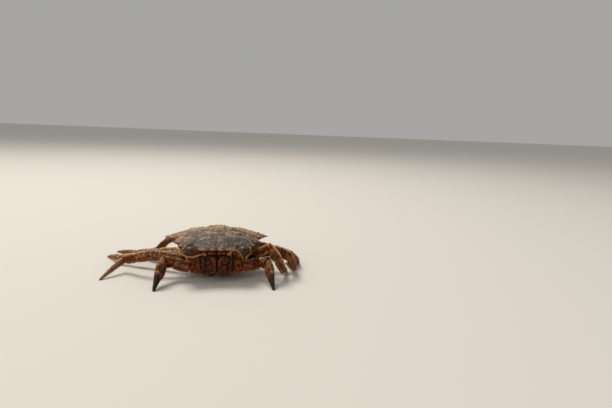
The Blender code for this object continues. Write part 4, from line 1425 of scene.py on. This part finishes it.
def limb_pieces(side, pair, joints, ways, shells):
    """A leg's segments, or a claw's arm, its palm and its moving finger."""
    limb = "claw" if pair == 1 else f"leg{pair}"
    sizes = limb_sizes(pair)
    made = []
    for index, part in enumerate(SEGMENTS[:2] if pair == 1 else SEGMENTS):
        bm = segment_bmesh(part, joints, ways, index, sizes[index], leg_look(part, pair))
        made.append((bm, part, "leg", "leg_shell"))
    if pair == 1:
        length = sizes[2][0]
        matrix = frame_along(joints[2], ways[3])
        leans = (lean(matrix, ways[2] + ways[3]), (0.0, 0.0))
        palm = bar_bmesh(
            "claw", matrix, claw_rows(False), length, leans, claw_look(False), 64, 110)
        finger = bar_bmesh(
            "claw", matrix, claw_rows(True), length, look=claw_look(True), sides=52, rings=80)
        made += [(palm, "palm", "claw", "leg_shell"), (finger, "finger", "claw", "finger_tip")]
    return [
        finished(
            bm, f"{limb}_{part}_{side}_shell", shells[shell], slot, f"{limb}_{part}_{side}")
        for bm, part, shell, slot in made]


def outward(values):
    """Away from the middle of the back, level."""
    way = values["middle"] - np.array(ORIGIN + Vector((0.0, CARAPACE_CENTRE_Y, 0.0)) * MM)
    way[:, 2] = 0.0
    return unit(way)


def back_bristles(back):
    """Short scattered pile on the back and a close fringe along its edge."""
    rings = DOME_RINGS + TOOTH_RINGS + RIM_RINGS + UNDER_RINGS
    rim = (DOME_RINGS + TOOTH_RINGS) / rings

    def upper(values):
        return (values["run"] < rim) * (values["marks"][:, 0] + 0.15)

    def edge(values):
        return np.exp(-((values["run"] - rim - 0.02) / 0.02) ** 2)

    def forward(values):
        return outward(values) * 0.6 + np.array([0.0, -1.0, 0.0])

    return [grown(back, "back", 11, upper, forward), grown(back, "rim", 12, edge, outward)]


def body_bristles(body):
    """Bristles on the cheeks and the rest of the body's wall, lying downwards."""
    def wall(values):
        return (values["normal"][:, 2] > -0.7) * (values["marks"][:, 3] < 0.95)

    def down(values):
        return outward(values) * 0.5 + np.array([0.0, -0.3, -0.6])

    return [grown(body, "body", 21, wall, down)]


def mouth_bristles(plates):
    """Bristles on the mouth plates, closest along their ridges."""
    def ridges(values):
        return values["marks"][:, 1] + 0.15

    down = along_way((0.0, -0.4, -0.8))
    return [
        grown(plate, "mouth", 31 + index, ridges, down, (index, len(plates)))
        for index, plate in enumerate(plates)]


def make_head(shells):
    """The eyes and feelers, and the mouth plates, which it returns."""
    for side, sign in SIGN.items():
        for shape, node, ending, shell, slot in (
                (cornea_bmesh, "cornea", "dome", "cornea", "cornea"),
                (eyestalk_bmesh, "eyestalk", "shell", "leg", "leg_shell"),
                (antenna_bmesh, "antenna", "whip", "feeler", "feeler"),
                (antennule_bmesh, "antennule", "rod", "body", "feeler")):
            name = f"{node}_{side}"
            finished(shape(sign), f"{name}_{ending}", shells[shell], slot, name)
    return [
        finished(
            mouth_plate_bmesh(sign), f"maxilliped_{side}_plates", shells["mouth"],
            "body_shell", f"maxilliped_{side}")
        for side, sign in SIGN.items()]


def make_crab():
    shells = {part: cuticle(*values) for part, values in SHELLS.items()}
    shells["cornea"] = cornea_material()
    bristles = {part: bristle_material(*values) for part, values in COATS.items()}
    back = finished(carapace_bmesh(), "carapace_shell", shells["back"], "back_shell", "carapace")
    body = finished(body_bmesh(), "body_shell", shells["body"], "body_shell", "thorax")
    finished(abdomen_bmesh(), "abdomen_flap", shells["body"], "body_shell", "abdomen")
    plates = make_head(shells)
    coats = make_limbs(shells)
    coat("carapace_coat", back_bristles(back), bristles["back"], "back_shell")
    coat("body_coat", body_bristles(body), bristles["body"], "body_shell")
    coat("mouth_coat", mouth_bristles(plates), bristles["mouth"], "body_shell")
    for (side, pair), lots in coats.items():
        name = f"claw_coat_{side}" if pair == 1 else f"leg{pair}_coat_{side}"
        coat(name, lots, bristles["leg"], "leg_shell")


# -------------------------------------------------------- floor, light, camera
def make_floor():
    bm = bmesh.new()
    bmesh.ops.create_grid(bm, x_segments=1, y_segments=1, size=6.0)
    floor = placed("floor", meshed(bm, "floor"))
    material, tree, shader = new_material("pale_floor")
    plug(tree, shader, {"Base Color": linear(FLOOR_COLOUR), "Roughness": 0.85})
    floor.data.materials.append(material)


def add_softbox(name, place, size, power, colour):
    """A soft square light at a place in metres, turned to the crab."""
    light = bpy.data.lights.new(name, "AREA")
    light.shape = "SQUARE"
    light.size = size
    light.energy = power
    light.color = linear(colour)[:3]
    item = placed(name, light)
    item.location = place
    item.rotation_euler = (-Vector(place)).to_track_quat("-Z", "Y").to_euler()


def make_light():
    world = bpy.data.worlds.new("studio")
    world.use_nodes = True
    plug(world.node_tree, world.node_tree.nodes["Background"], {
        "Color": linear(WORLD_COLOUR), "Strength": WORLD_STRENGTH})
    bpy.context.scene.world = world
    for name, values in SOFTBOXES.items():
        add_softbox(name, *values)


def make_camera():
    data = bpy.data.cameras.new("camera")
    data.lens = CAMERA_LENS
    data.sensor_width = SENSOR_WIDTH
    data.clip_start = 0.005
    data.clip_end = 50.0
    camera = placed("camera", data)
    camera.location = ORIGIN + Vector(CAMERA_PLACE) * MM
    camera.rotation_euler = Euler([math.radians(angle) for angle in CAMERA_TURN])
    bpy.context.scene.camera = camera
    bpy.context.scene.view_settings.view_transform = "Standard"


make_camera()
make_light()
make_floor()
make_crab()
